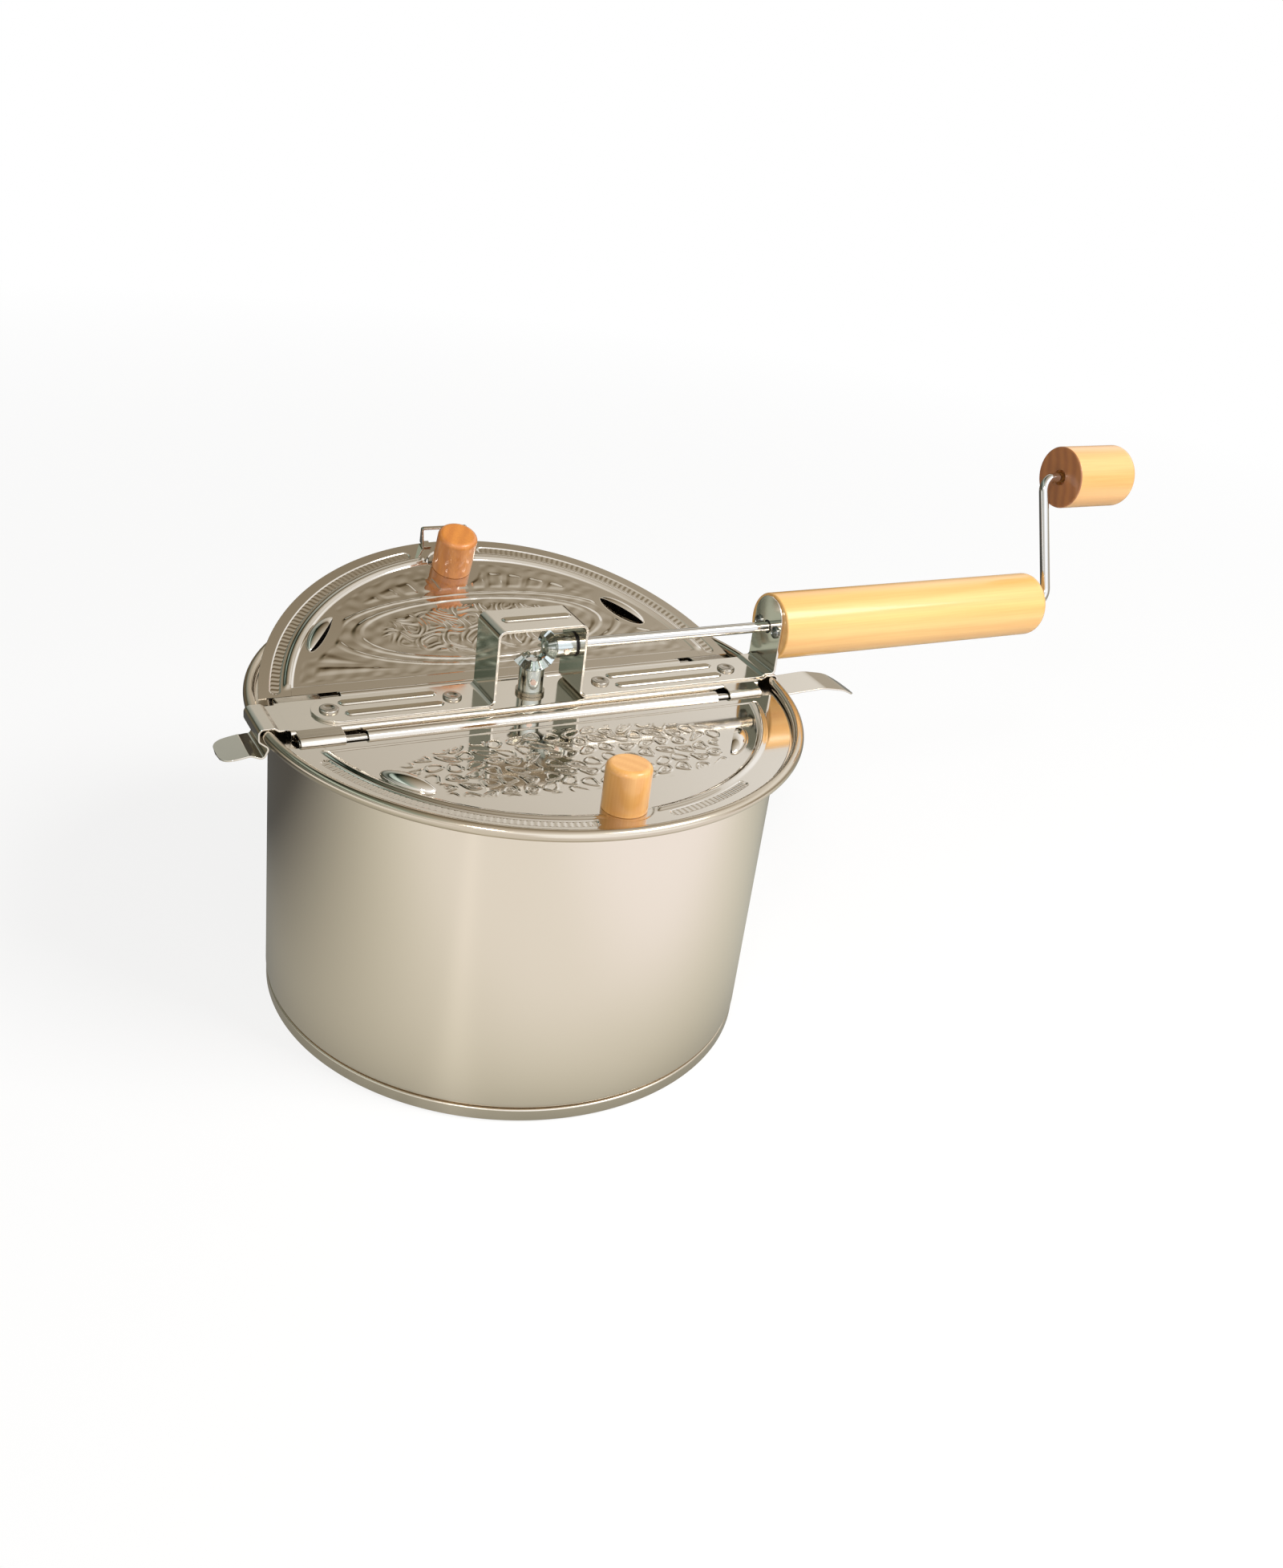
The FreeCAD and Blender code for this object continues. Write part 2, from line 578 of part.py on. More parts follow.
def make_hinge_pins():
    """Two pins, each through both knuckles and a lid's barrel."""
    for name, side in (("front_hinge_pin", "-"), ("back_hinge_pin", "")):
        pin = keep(name, cylinder(name, "hinge_pin_radius", "2 * pin_end"))
        put(pin, "-pin_end", side + "hinge_offset", "hinge_axis", ALONG_X)


def make_bushing():
    """Flanged sleeve in the plate's middle, which carries the stirrer shaft."""
    flange_top = "bushing_length - plate_thick - snug_gap"
    bushing = turned("shaft_bushing", [
        corner("shaft_radius + running_gap", "0"),
        corner("bushing_radius", "0"),
        corner("bushing_radius", flange_top + " - flange_thick"),
        corner("bushing_flange", flange_top + " - flange_thick"),
        corner("bushing_flange", flange_top),
        corner("bushing_radius", flange_top),
        corner("bushing_radius", "bushing_length"),
        corner("shaft_radius + running_gap", "bushing_length"),
    ])
    put(bushing, z="plate_top - bushing_length")


# ---------------------------------------------------------------- gear bracket, rivets and handle

def rib(start, end):
    """A low pressed rib between two points on a sheet's top, round at both ends."""
    sunk = Z_AXIS * (dim.rib_height - dim.rib_radius)
    bar = rod(dim.rib_radius, start + sunk, end + sunk)
    bar = bar.fuse([Part.makeSphere(dim.rib_radius, spot + sunk) for spot in (start, end)])
    low = start.z - dim.bracket_thick / 2
    return bar.common(box((-PAST_ALL, PAST_ALL), (-PAST_ALL, PAST_ALL), (low, PAST_ALL)))


def make_gear_bracket():
    """One strip: left foot, arch over the gears, right foot, and the upright that carries the handle."""
    top = worth("plate_top")
    half_thick = dim.bracket_thick / 2
    half = dim.clip_width / 2
    foot = top + half_thick
    bead_x = worth("bead_middle")
    hump = foot + dim.hump_rise
    crown = top + dim.bracket_rise - half_thick
    upright_x = bead_x + dim.upright_offset
    axis_z = worth("crank_axis")
    round_z = axis_z + dim.upright_rise
    path = [
        (-worth("foot_end"), foot),
        (-dim.left_leg + half_thick, foot),
        (-dim.left_leg + half_thick, crown),
        (dim.right_leg - half_thick, crown),
        (dim.right_leg - half_thick, foot),
        (bead_x - dim.hump_foot - dim.hump_lead, foot),
        (bead_x - dim.hump_top - dim.hump_lead, hump),
        (upright_x, hump),
        (upright_x, round_z + half),
    ]
    bends = [dim.bracket_radius] * 4 + [dim.clip_radius] * 2 + [dim.upright_radius]
    strip = sheet_strip(path, bends, dim.bracket_thick, -half, half)
    middle_x = (dim.right_leg + upright_x) / 2
    round_x = half - worth("foot_end")
    foot_plan = box((round_x, middle_x), (-half, half), (0, PAST_ALL))
    foot_plan = foot_plan.fuse(Part.makeCylinder(half, PAST_ALL, Vector(round_x, 0, 0)))
    upright_view = box((middle_x, PAST_ALL), (-half, half), (0, round_z))
    upright_view = upright_view.fuse(Part.makeCylinder(half, PAST_ALL, Vector(middle_x, 0, round_z), X_AXIS))
    bracket = strip.common(foot_plan.fuse(upright_view))

    foot_top = top + dim.bracket_thick
    ribs = [rib(Vector(-dim.top_rib_half, 0, top + dim.bracket_rise),
                Vector(dim.top_rib_half, 0, top + dim.bracket_rise))]
    rivets = rivet_places()
    for y in (-dim.rib_spread, dim.rib_spread):
        for outer, inner in ((rivets[0], rivets[1]), (rivets[2], rivets[3])):
            ribs.append(rib(Vector(outer + dim.rib_inset, y, foot_top), Vector(inner - dim.rib_inset, y, foot_top)))
    bracket = bracket.fuse(ribs)
    holes = [rod(dim.rivet_radius + dim.snug_gap, Vector(x, 0, 0), Vector(x, 0, top + dim.bracket_rise / 2))
             for x in rivet_places()]
    holes.append(rod(dim.rod_radius + dim.running_gap, Vector(0, 0, axis_z), Vector(PAST_ALL, 0, axis_z)))
    for y in (-dim.handle_screw_spread, dim.handle_screw_spread):
        holes.append(rod(dim.handle_screw_radius + dim.snug_gap, Vector(middle_x, y, axis_z),
                         Vector(PAST_ALL, y, axis_z)))
    shaped("gear_bracket", bracket.cut(holes).removeSplitter())


def make_rivets():
    """Four rivets: low round head on the bracket, shank, and a flat set head under the plate."""
    top = worth("plate_top") + dim.bracket_thick
    under = worth("plate_top") - dim.plate_thick
    rivets = []
    for x in rivet_places():
        head = dome(dim.rivet_head_radius, dim.rivet_head_height)
        head.translate(Vector(x, 0, top))
        set_bottom = Vector(x, 0, under - dim.rivet_head_height)
        shank = rod(dim.rivet_radius, set_bottom, Vector(x, 0, top))
        set_head = rod(dim.rivet_head_radius, set_bottom, Vector(x, 0, under))
        rivets.append(head.fuse([shank, set_head]).removeSplitter())
    shaped("bracket_rivets", Part.makeCompound(rivets))


def make_handle():
    """Bored wooden grip against the upright, held by two screws."""
    axis_z = worth("crank_axis")
    grip = turned("handle_grip", [
        corner("grip_bore", "0"),
        corner("grip_radius - grip_chamfer", "0"),
        corner("grip_radius", "grip_chamfer"),
        corner("grip_radius", "grip_length - grip_round"),
        outer_rounding("grip_radius - grip_round", "grip_length", "grip_round",
                       ("grip_radius - grip_round", "grip_length - grip_round")),
        corner("grip_bore", "grip_length"),
    ])
    screw_holes = doc.addObject("Part::Feature", "handle_screw_holes")
    start = worth("upright_outside")
    end = start + dim.handle_screw_length + dim.snug_gap
    spreads = (-dim.handle_screw_spread, dim.handle_screw_spread)
    screw_holes.Shape = Part.makeCompound([
        rod(dim.handle_screw_radius + dim.snug_gap, Vector(start, y, axis_z), Vector(end, y, axis_z))
        for y in spreads])
    put(grip, "upright_outside", "0", "crank_axis", ALONG_X)
    drilled = doc.addObject("Part::Cut", "drilled_grip")
    drilled.Base = grip
    drilled.Tool = screw_holes
    grip.Label = "handle_grip_blank"
    keep("handle_grip", drilled)

    face = start - dim.bracket_thick
    screws = []
    for y in spreads:
        head = dome(dim.handle_screw_head, dim.handle_screw_rise)
        head.Placement = Placement(Vector(face, y, axis_z), Rotation(Y_AXIS, -90))
        shank = rod(dim.handle_screw_radius, Vector(face, y, axis_z), Vector(end - dim.snug_gap, y, axis_z))
        screws.append(head.fuse(shank).removeSplitter())
    shaped("handle_screws", Part.makeCompound(screws))


# ---------------------------------------------------------------- gears

def bevel_gear(first_tooth, foot, bore):
    """Mitre gear about the Z axis: cones meet at the origin, hub reaches down to the height -foot."""
    pitch_radius = dim.gear_module * dim.gear_teeth / 2
    cone = pitch_radius * math.sqrt(2)
    inner = cone - dim.gear_face
    pitch_angle = math.radians(45)
    root_angle = pitch_angle - math.atan(dim.tooth_dedendum / cone)
    tip_angle = pitch_angle + math.atan(dim.tooth_addendum / cone)
    half_tooth = (math.pi * dim.gear_module / 2 - dim.tooth_backlash) / 2
    slope = math.tan(math.radians(dim.tooth_slope))
    root_width = half_tooth + dim.tooth_dedendum * slope
    tip_width = half_tooth - dim.tooth_addendum * slope

    def on_cone(distance, angle, turn):
        level = distance * math.sin(angle)
        return Vector(level * math.cos(turn), level * math.sin(turn), -distance * math.cos(angle))

    def tooth(turn):
        sections = []
        for distance in (inner, cone):
            scale = distance / cone
            corners = []
            for angle, width in ((root_angle, -root_width), (tip_angle, -tip_width),
                                 (tip_angle, tip_width), (root_angle, root_width)):
                spread = width * scale / (distance * math.sin(angle))
                corners.append(on_cone(distance, angle, turn + spread))
            sections.append(Part.makePolygon(corners + corners[:1]))
        return Part.makeLoft(sections, True, True)

    sunk = root_angle + math.radians(dim.root_bury)
    blank = [
        Vector(0, 0, -inner * math.cos(sunk)),
        Vector(inner * math.sin(sunk), 0, -inner * math.cos(sunk)),
        Vector(cone * math.sin(sunk), 0, -cone * math.cos(sunk)),
        Vector(dim.hub_radius, 0, -cone * math.cos(sunk) - (cone * math.sin(sunk) - dim.hub_radius)),
        Vector(dim.hub_radius, 0, -foot),
        Vector(0, 0, -foot),
    ]
    gear = Part.Face(Part.makePolygon(blank + blank[:1])).revolve(Vector(0, 0, 0), Z_AXIS, 360)
    step = 2 * math.pi / dim.gear_teeth
    gear = gear.fuse([tooth(first_tooth + index * step) for index in range(int(dim.gear_teeth))])
    return gear.cut(rod(bore, Vector(0, 0, -foot), Vector(0, 0, 0)))


def gear_tooth_end():
    """Distance from the cones' meeting point to the flat face at the teeth's inner ends."""
    pitch_radius = dim.gear_module * dim.gear_teeth / 2
    cone = pitch_radius * math.sqrt(2)
    return (cone - dim.gear_face) / math.sqrt(2)


def cross_pin(place, turn):
    """Pin across a hub that lies on the Z axis, level at this height and turned from the Y axis."""
    reach = dim.hub_radius + dim.cross_pin_show
    along = Vector(-math.sin(turn), math.cos(turn), 0)
    start = Vector(0, 0, place) - along * reach
    return rod(dim.cross_pin_radius, start, start + along * 2 * reach), \
        rod(dim.cross_pin_radius + dim.snug_gap, start, start + along * 2 * reach)


def make_stirrer_drive():
    """Stirrer shaft with its gear, cross pin and thrust washer."""
    axis_z = worth("crank_axis")
    foot = axis_z - worth("gear_hub_foot")
    meeting = Placement(Vector(0, 0, axis_z), Rotation())
    hub_top = gear_tooth_end() + dim.gear_face
    pin, pin_hole = cross_pin(-(foot + hub_top) / 2, -math.radians(dim.stirrer_pin_turn))
    half_step = math.pi / dim.gear_teeth
    gear = bevel_gear(half_step, foot, dim.shaft_radius + dim.snug_gap)
    shaped("stirrer_gear", gear.cut(pin_hole), meeting)
    shaped("stirrer_gear_pin", pin, meeting)
    shaft_bottom = worth("floor_top + shaft_floor_gap") - axis_z
    shaft = rod(dim.shaft_radius, Vector(0, 0, shaft_bottom), Vector(0, 0, -gear_tooth_end() - dim.shaft_set_back))
    shaped("stirrer_shaft", shaft.cut(pin_hole), meeting)
    ring = washer("stirrer_thrust_washer", "thrust_radius", "shaft_radius + snug_gap", "thrust_thick")
    put(ring, z="plate_top + axial_gap")


def make_crank():
    """Crank rod with its gear, cross pin, washer and push nut, and the knob that turns on it."""
    axis_z = worth("crank_axis")
    meeting = Placement(Vector(0, 0, axis_z), Rotation(Y_AXIS, -90))
    leg_inside = dim.right_leg - dim.bracket_thick
    foot = leg_inside - dim.axial_gap - dim.leg_washer_thick
    hub_top = gear_tooth_end() + dim.gear_face
    pin, pin_hole = cross_pin(-(foot + hub_top) / 2, -math.radians(dim.crank_pin_turn))
    gear = bevel_gear(0.0, foot, dim.rod_radius + dim.snug_gap)
    shaped("crank_gear", gear.cut(pin_hole), meeting)
    shaped("crank_gear_pin", pin, meeting)

    arm_x = worth("arm_place")
    lean = math.radians(dim.arm_lean)
    arm = Vector(0, math.sin(lean), math.cos(lean)) * dim.arm_length
    centre = Vector(0, 0, axis_z)
    knob_end = arm_x + dim.knob_gap + dim.crank_knob_length
    nut_seat = knob_end - dim.nut_bore_depth + dim.nut_room
    path = [
        centre + X_AXIS * (gear_tooth_end() + dim.shaft_set_back),
        centre + X_AXIS * arm_x,
        centre + X_AXIS * arm_x + arm,
        centre + arm + X_AXIS * (nut_seat + dim.nut_thick + dim.nut_room),
    ]
    crank_rod = bent_wire(path, [dim.rod_bend_radius] * 2, dim.rod_radius)
    hole = pin_hole.copy()
    hole.Placement = meeting
    shaped("crank_rod", crank_rod.cut(hole))
    ring = washer("crank_leg_washer", "hub_radius", "rod_radius + snug_gap", "leg_washer_thick")
    put(ring, "right_leg - bracket_thick - axial_gap - leg_washer_thick", "0", "crank_axis", ALONG_X)

    pin_y = "arm_length * sin(arm_lean * 1 deg)"
    pin_z = "crank_axis + arm_length * cos(arm_lean * 1 deg)"
    nut = washer("rod_push_nut", "nut_radius", "rod_radius + snug_gap", "nut_thick")
    put(nut, "arm_place + knob_gap + crank_knob_length - nut_bore_depth + nut_room", pin_y, pin_z, ALONG_X)
    knob_bore = "rod_radius + 2 * running_gap"
    nut_bore = "nut_radius + nut_room"
    nut_floor = "crank_knob_length - nut_bore_depth"
    knob = turned("crank_knob", [
        corner("knob_recess_radius", "0"),
        corner("grip_radius - grip_chamfer", "0"),
        corner("grip_radius", "grip_chamfer"),
        corner("grip_radius", "crank_knob_length - grip_round"),
        outer_rounding("grip_radius - grip_round", "crank_knob_length", "grip_round",
                       ("grip_radius - grip_round", "crank_knob_length - grip_round")),
        corner(nut_bore, "crank_knob_length"),
        corner(nut_bore, nut_floor),
        corner(knob_bore, nut_floor),
        corner(knob_bore, "knob_recess_depth"),
        corner("knob_recess_radius", "knob_recess_depth"),
    ])
    put(knob, "arm_place + knob_gap", pin_y, pin_z, ALONG_X)


# ---------------------------------------------------------------- stirrer

def make_stirrer():
    """Hub block at the shaft's foot and two wires that sweep the floor."""
    bottom = worth("floor_top + shaft_floor_gap + hub_block_lift")
    top = bottom + dim.hub_block_height
    wire_z = worth("floor_top + wire_floor_gap + wire_radius")
    root_z = bottom + dim.hub_block_height / 2
    reach = worth("pot_radius - pot_wall - wire_wall_gap")
    path = [
        Vector(dim.shaft_radius + dim.snug_gap, 0, root_z),
        Vector(dim.hub_block_radius + dim.wire_bend_radius, 0, root_z),
        Vector(dim.hub_block_radius + dim.wire_landing, 0, wire_z),
        Vector(reach, 0, wire_z),
        Vector(reach, 0, wire_z + dim.wire_tip_rise),
    ]
    block = tube(dim.hub_block_radius, dim.shaft_radius + dim.snug_gap, Vector(0, 0, bottom), Vector(0, 0, top))
    for name, turn in (("stirrer_wire_1", dim.wire_turn), ("stirrer_wire_2", dim.wire_turn + 180)):
        placement = Placement(Vector(0, 0, 0), Rotation(Z_AXIS, turn))
        hole = rod(dim.wire_radius + dim.snug_gap, Vector(0, 0, root_z), path[1])
        hole.Placement = placement
        block = block.cut(hole)
        wire = bent_wire(path, [dim.wire_bend_radius] * 3, dim.wire_radius)
        shaft_side = rod(dim.shaft_radius + dim.snug_gap, Vector(0, 0, bottom), Vector(0, 0, top))
        shaped(name, wire.cut(shaft_side), placement)
    shaped("stirrer_hub", block)


# ---------------------------------------------------------------- lids

def half_disc(radius, straight, low, high, inset=0.0):
    """Upright prism of a disc segment in front of the plane y = -straight."""
    disc = Part.makeCylinder(radius - inset, high - low, Vector(0, 0, low))
    return disc.common(box((-PAST_ALL, PAST_ALL), (-PAST_ALL, -straight - inset), (low, high)))


def louvre(side, level):
    """Half-lens vent beside the knob: its dome, and the tool that clears the inside and the mouth."""
    half = dim.louvre_length / 2
    rise = dim.louvre_height
    turn = math.radians(dim.louvre_angle)
    reach = worth("lid_radius - louvre_inset")
    centre = Vector(side * reach * math.cos(turn) - dim.pressing_shift, -reach * math.sin(turn), level)

    def lens(half_length, height):
        arc = Part.BezierCurve()
        arc.setPoles([Vector(0, -half_length, 0), Vector(2 * height, 0, 0), Vector(0, half_length, 0)])
        chord = Part.LineSegment(Vector(0, half_length, 0), Vector(0, -half_length, 0)).toShape()
        return Part.Face(Part.Wire([arc.toShape(), chord])).revolve(Vector(0, 0, 0), Y_AXIS, 360)

    outer = lens(half, rise)
    hollow = lens(half - 2 * dim.lid_sheet, rise - dim.lid_sheet)
    mouth = box((-2 * rise, -dim.louvre_mouth), (-half, half), (0.0, 2 * rise))
    outer = outer.common(box((-2 * rise, 2 * rise), (-half, half), (-dim.lid_sheet, 2 * rise)))
    clearing = hollow.fuse(mouth)
    for shape in (outer, clearing):
        shape.rotate(Vector(0, 0, 0), Z_AXIS, -math.degrees(turn) if side > 0 else 180 + math.degrees(turn))
        shape.translate(centre)
    return outer, clearing


def make_lid(name, placement, mirrored):
    """Half-round pressed lid with its hinge barrel, as the front one, then mirrored and placed."""
    bottom = worth("lid_bottom")
    top = bottom + dim.lid_sheet
    panel_bottom = worth("panel_bottom")
    panel_top = panel_bottom + dim.lid_sheet
    radius = worth("lid_radius")
    straight = dim.hinge_offset + dim.lid_web
    panel_radius = radius - dim.border_width - dim.ridge_width
    panel_straight = straight + dim.hinge_band
    bay = Vector(-dim.pressing_shift, dim.knob_inset - radius, panel_bottom)

    def panel_prism(low, high, inset):
        prism = half_disc(panel_radius, panel_straight, low, high, inset)
        return prism.fuse(Part.makeCylinder(dim.pad_radius - inset, high - low, Vector(bay.x, bay.y, low)))

    border = half_disc(radius, straight, bottom, top).cut(panel_prism(bottom, top, 0.0))
    pan = panel_prism(panel_bottom, top, 0.0).cut(panel_prism(panel_top, top, dim.lid_sheet))
    ridge_inner = radius - dim.border_width - dim.ridge_width
    ridge_middle = ridge_inner + dim.ridge_width / 2
    ridge_profile = Part.Wire([
        Part.Arc(Vector(ridge_inner, 0, top), Vector(ridge_middle, 0, top + dim.ridge_height),
                 Vector(ridge_inner + dim.ridge_width, 0, top)).toShape(),
        Part.LineSegment(Vector(ridge_inner + dim.ridge_width, 0, top),
                         Vector(ridge_inner, 0, top)).toShape(),
    ])
    ridge = Part.Face(ridge_profile).revolve(Vector(0, 0, 0), Z_AXIS, 360)
    ridge = ridge.common(box((-PAST_ALL, PAST_ALL), (-PAST_ALL, -panel_straight), (bottom, 2 * top)))
    ridge = ridge.cut(Part.makeCylinder(dim.pad_radius + dim.ridge_width / 2, 2 * top, Vector(bay.x, bay.y, 0)))

    axis_y = -dim.hinge_offset
    axis_z = worth("hinge_axis")
    ends = (-worth("barrel_left"), worth("barrel_right"))
    barrel = rod(worth("pin_bore + barrel_wall"), Vector(ends[0], axis_y, axis_z), Vector(ends[1], axis_y, axis_z))
    sheet_middle = bottom + dim.lid_sheet / 2
    web = [
        (-straight - dim.hinge_band / 2, sheet_middle),
        (-straight - dim.lid_sheet, sheet_middle),
        (axis_y - dim.barrel_wall, axis_z + worth("pin_bore + barrel_wall / 2")),
    ]
    web = sheet_strip(web, [dim.lid_sheet * 2], dim.lid_sheet, ends[0], ends[1], X_AXIS)
    lid = border.fuse([pan, ridge, barrel, web])
    for side in (-1, 1):
        outer, clearing = louvre(side, panel_top)
        lid = lid.fuse(outer).cut(clearing)
    lid = lid.cut([
        rod(worth("pin_bore"), Vector(-PAST_ALL, axis_y, axis_z), Vector(PAST_ALL, axis_y, axis_z)),
        rod(dim.knob_screw_radius + dim.snug_gap, Vector(bay.x, bay.y, 0), Vector(bay.x, bay.y, top)),
    ]).removeSplitter()
    if mirrored:
        lid = lid.mirror(Vector(0, 0, 0), Y_AXIS)
    return shaped(name, lid, placement)


def make_lid_knob(prefix, side, placement):
    """Wooden knob standing in the panel's bay, with its screw and washer from below."""
    panel_bottom = worth("panel_bottom")
    knob = turned(prefix + "_lid_knob", [
        corner("knob_screw_radius + snug_gap", "0"),
        corner("knob_radius", "0"),
        corner("knob_radius", "knob_height - knob_round"),
        outer_rounding("knob_radius - knob_round", "knob_height", "knob_round",
                       ("knob_radius - knob_round", "knob_height - knob_round")),
        corner("0", "knob_height"),
        corner("0", "knob_screw_depth + snug_gap"),
        corner("knob_screw_radius + snug_gap", "knob_screw_depth + snug_gap"),
    ])
    reach = worth("lid_radius - knob_inset")
    seat = Vector(-dim.pressing_shift, side * reach, panel_bottom + dim.lid_sheet)
    knob.Placement = placement.multiply(Placement(seat, Rotation()))
    under = seat - Z_AXIS * (dim.lid_sheet + dim.washer_thick)
    ring = washer(prefix + "_knob_washer", "washer_radius", "knob_screw_radius + snug_gap", "washer_thick")
    ring.Placement = placement.multiply(Placement(under, Rotation()))
    head = dome(dim.knob_screw_head, dim.screw_head_height)
    head.Placement = Placement(under, Rotation(X_AXIS, 180))
    shank = rod(dim.knob_screw_radius, under, seat + Z_AXIS * dim.knob_screw_depth)
    shaped(prefix + "_knob_screw", head.fuse(shank).removeSplitter(), placement)


def make_strap(placement):
    """Thin strap bent like a staple on the back lid's border, behind the knob."""
    level = worth("lid_bottom") + dim.lid_sheet + dim.strap_thick / 2
    crown = level + dim.strap_rise - dim.strap_thick
    half = dim.strap_half_span
    wide = half + dim.strap_flare
    toe = half - dim.strap_foot
    path = [(-toe, level), (-half, level), (-wide, crown), (wide, crown), (half, level), (toe, level)]
    path = [(x - dim.pressing_shift, z) for x, z in path]
    bends = [dim.strap_thick] * 4
    low = worth("lid_radius - strap_inset - strap_width / 2")
    strap = sheet_strip(path, bends, dim.strap_thick, low, low + dim.strap_width)
    shaped("back_lid_strap", strap, placement)


def make_lids():
    """The closed front lid, and the back lid standing ajar on its hinge."""
    shut = Placement()
    make_lid("front_lid", shut, mirrored=False)
    make_lid_knob("front", -1, shut)
    hinge = Vector(0, dim.hinge_offset, worth("hinge_axis"))
    ajar = Placement(Vector(0, 0, 0), Rotation(X_AXIS, dim.back_lid_ajar), hinge)
    make_lid("back_lid", ajar, mirrored=True)
    make_lid_knob("back", 1, ajar)
    make_strap(ajar)


# ---------------------------------------------------------------- build, check and write

make_pot()
make_bridge_plate()
make_hinge_pins()
make_bushing()
make_gear_bracket()
make_rivets()
make_handle()
make_stirrer_drive()
make_crank()
make_stirrer()
make_lids()
doc.recompute()

for piece in doc.Objects:
    faults = [state for state in piece.State if state in ("Invalid", "Error")]
    if faults:
        raise RuntimeError("%s failed to build: %s" % (piece.Label, faults))
for name, piece in nodes.items():
    if piece.Shape.isNull() or not piece.Shape.isValid():
        raise RuntimeError("%s has no valid shape" % name)
    if not piece.Shape.Solids:
        raise RuntimeError("%s has no solid" % name)
for name, piece in nodes.items():
    piece.Shape.exportStep("parts/%s.step" % name)
    box_of = piece.Shape.BoundBox
    print("%-22s %d solid(s) %9.1f mm3  x %.1f..%.1f y %.1f..%.1f z %.1f..%.1f" % (
        name, len(piece.Shape.Solids), piece.Shape.Volume, box_of.XMin, box_of.XMax,
        box_of.YMin, box_of.YMax, box_of.ZMin, box_of.ZMax))
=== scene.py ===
import math

import bpy
import numpy as np
from mathutils import Matrix, Vector


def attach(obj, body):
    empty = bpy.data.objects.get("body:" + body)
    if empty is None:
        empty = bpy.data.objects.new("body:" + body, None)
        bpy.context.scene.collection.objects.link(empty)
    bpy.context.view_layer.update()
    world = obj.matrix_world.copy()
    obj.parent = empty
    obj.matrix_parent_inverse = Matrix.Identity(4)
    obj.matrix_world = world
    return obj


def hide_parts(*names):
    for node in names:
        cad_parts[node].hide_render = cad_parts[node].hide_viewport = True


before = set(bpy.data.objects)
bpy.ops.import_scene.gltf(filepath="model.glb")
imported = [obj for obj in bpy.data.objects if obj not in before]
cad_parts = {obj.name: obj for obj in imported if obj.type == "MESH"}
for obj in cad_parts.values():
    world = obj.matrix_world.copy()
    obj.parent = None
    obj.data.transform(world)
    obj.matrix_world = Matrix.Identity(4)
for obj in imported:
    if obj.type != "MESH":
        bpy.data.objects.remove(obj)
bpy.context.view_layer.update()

# ---------------------------------------------------------------- pot
# The pot is drawn from one sheet of stainless steel, 0.8 mm thick. Its wall ends in a flat ledge for the
# lids, and the sheet's edge is rolled outward into a round bead. The wall is brushed round, by turning.

WALL = 113.5                    # outside radius of the wall; all sizes are in mm
SHEET = 0.8
LEDGE = 145.8                   # underside of the ledge
LEDGE_BEND = 1.0                # bend from wall to ledge below, and above
LEDGE_BEND_TOP = 1.6
BEAD = (121.5, 148.3)           # middle of the bead's section: radius and height
BEAD_RADIUS = 2.5
BEAD_ROLL = (-90, 205)          # from the bead's foot round to its lip, in degrees
BASE_TOP = 6.5
CORNER = 3.0                    # outside radius between floor and wall
STEEL_BRUSHED = "#E0D4C3"
ARC_STEP = 9                    # degrees of a bend in one step of its arc


def linear(code):
    """An sRGB hex colour as linear red, green, blue and an alpha of 1."""
    shares = [int(code[at:at + 2], 16) / 255 for at in (1, 3, 5)]
    return [c / 12.92 if c <= 0.04045 else ((c + 0.055) / 1.055) ** 2.4 for c in shares] + [1.0]


def add_node(tree, kind, inputs=None, **settings):
    """A node with its settings; an input's value is a number, a colour or the socket that feeds it."""
    node = tree.nodes.new(kind)
    for name, value in settings.items():
        setattr(node, name, value)
    for name, value in (inputs or {}).items():
        if isinstance(value, bpy.types.NodeSocket):
            tree.links.new(value, node.inputs[name])
        else:
            node.inputs[name].default_value = value
    return node


def new_material(name, **values):
    """A material whose shader has these values on its own sockets, and its coordinates node."""
    material = bpy.data.materials.new(name)
    material.use_nodes = True
    tree = material.node_tree
    shader = tree.nodes["Principled BSDF"]
    for socket, value in values.items():
        shader.inputs[socket.replace("_", " ")].default_value = value
    return material, tree, shader, add_node(tree, "ShaderNodeTexCoord")


def path_along(corners, radii=(), spacing=None):
    """A line through corners whose bends are arcs: straight runs A + t (B - A), bends C + r (cos a, sin a).
    Gives the places, the unit normals on the left of travel and the distance along."""
    corners = np.array(corners, float)
    places, normals = [], []

    def run(start, end, normal):
        steps = 1 if spacing is None else max(1, math.ceil(np.linalg.norm(end - start) / spacing))
        t = np.linspace(0, 1, steps + 1)[:, None]
        places.append(start + t * (end - start))
        normals.append(np.tile(normal, (steps + 1, 1)))

    here = corners[0]
    for before, at, after, radius in zip(corners, corners[1:], corners[2:], radii):
        into = (at - before) / np.linalg.norm(at - before)
        out = (after - at) / np.linalg.norm(after - at)
        turn = math.atan2(into[0] * out[1] - into[1] * out[0], into @ out)
        back = radius * math.tan(abs(turn) / 2)
        left = np.array([-into[1], into[0]])
        run(here, at - into * back, left)
        a = np.linspace(0, turn, max(3, math.ceil(abs(math.degrees(turn)) / ARC_STEP)) + 1)
        turned_left = np.stack([left[0] * np.cos(a) - left[1] * np.sin(a),
                                left[0] * np.sin(a) + left[1] * np.cos(a)], 1)
        side = math.copysign(radius, turn)
        places.append(at - into * back + left * side - turned_left * side)
        normals.append(turned_left)
        here = at + out * back
    out = (corners[-1] - corners[-2]) / np.linalg.norm(corners[-1] - corners[-2])
    run(here, corners[-1], np.array([-out[1], out[0]]))
    return merged(places, normals)


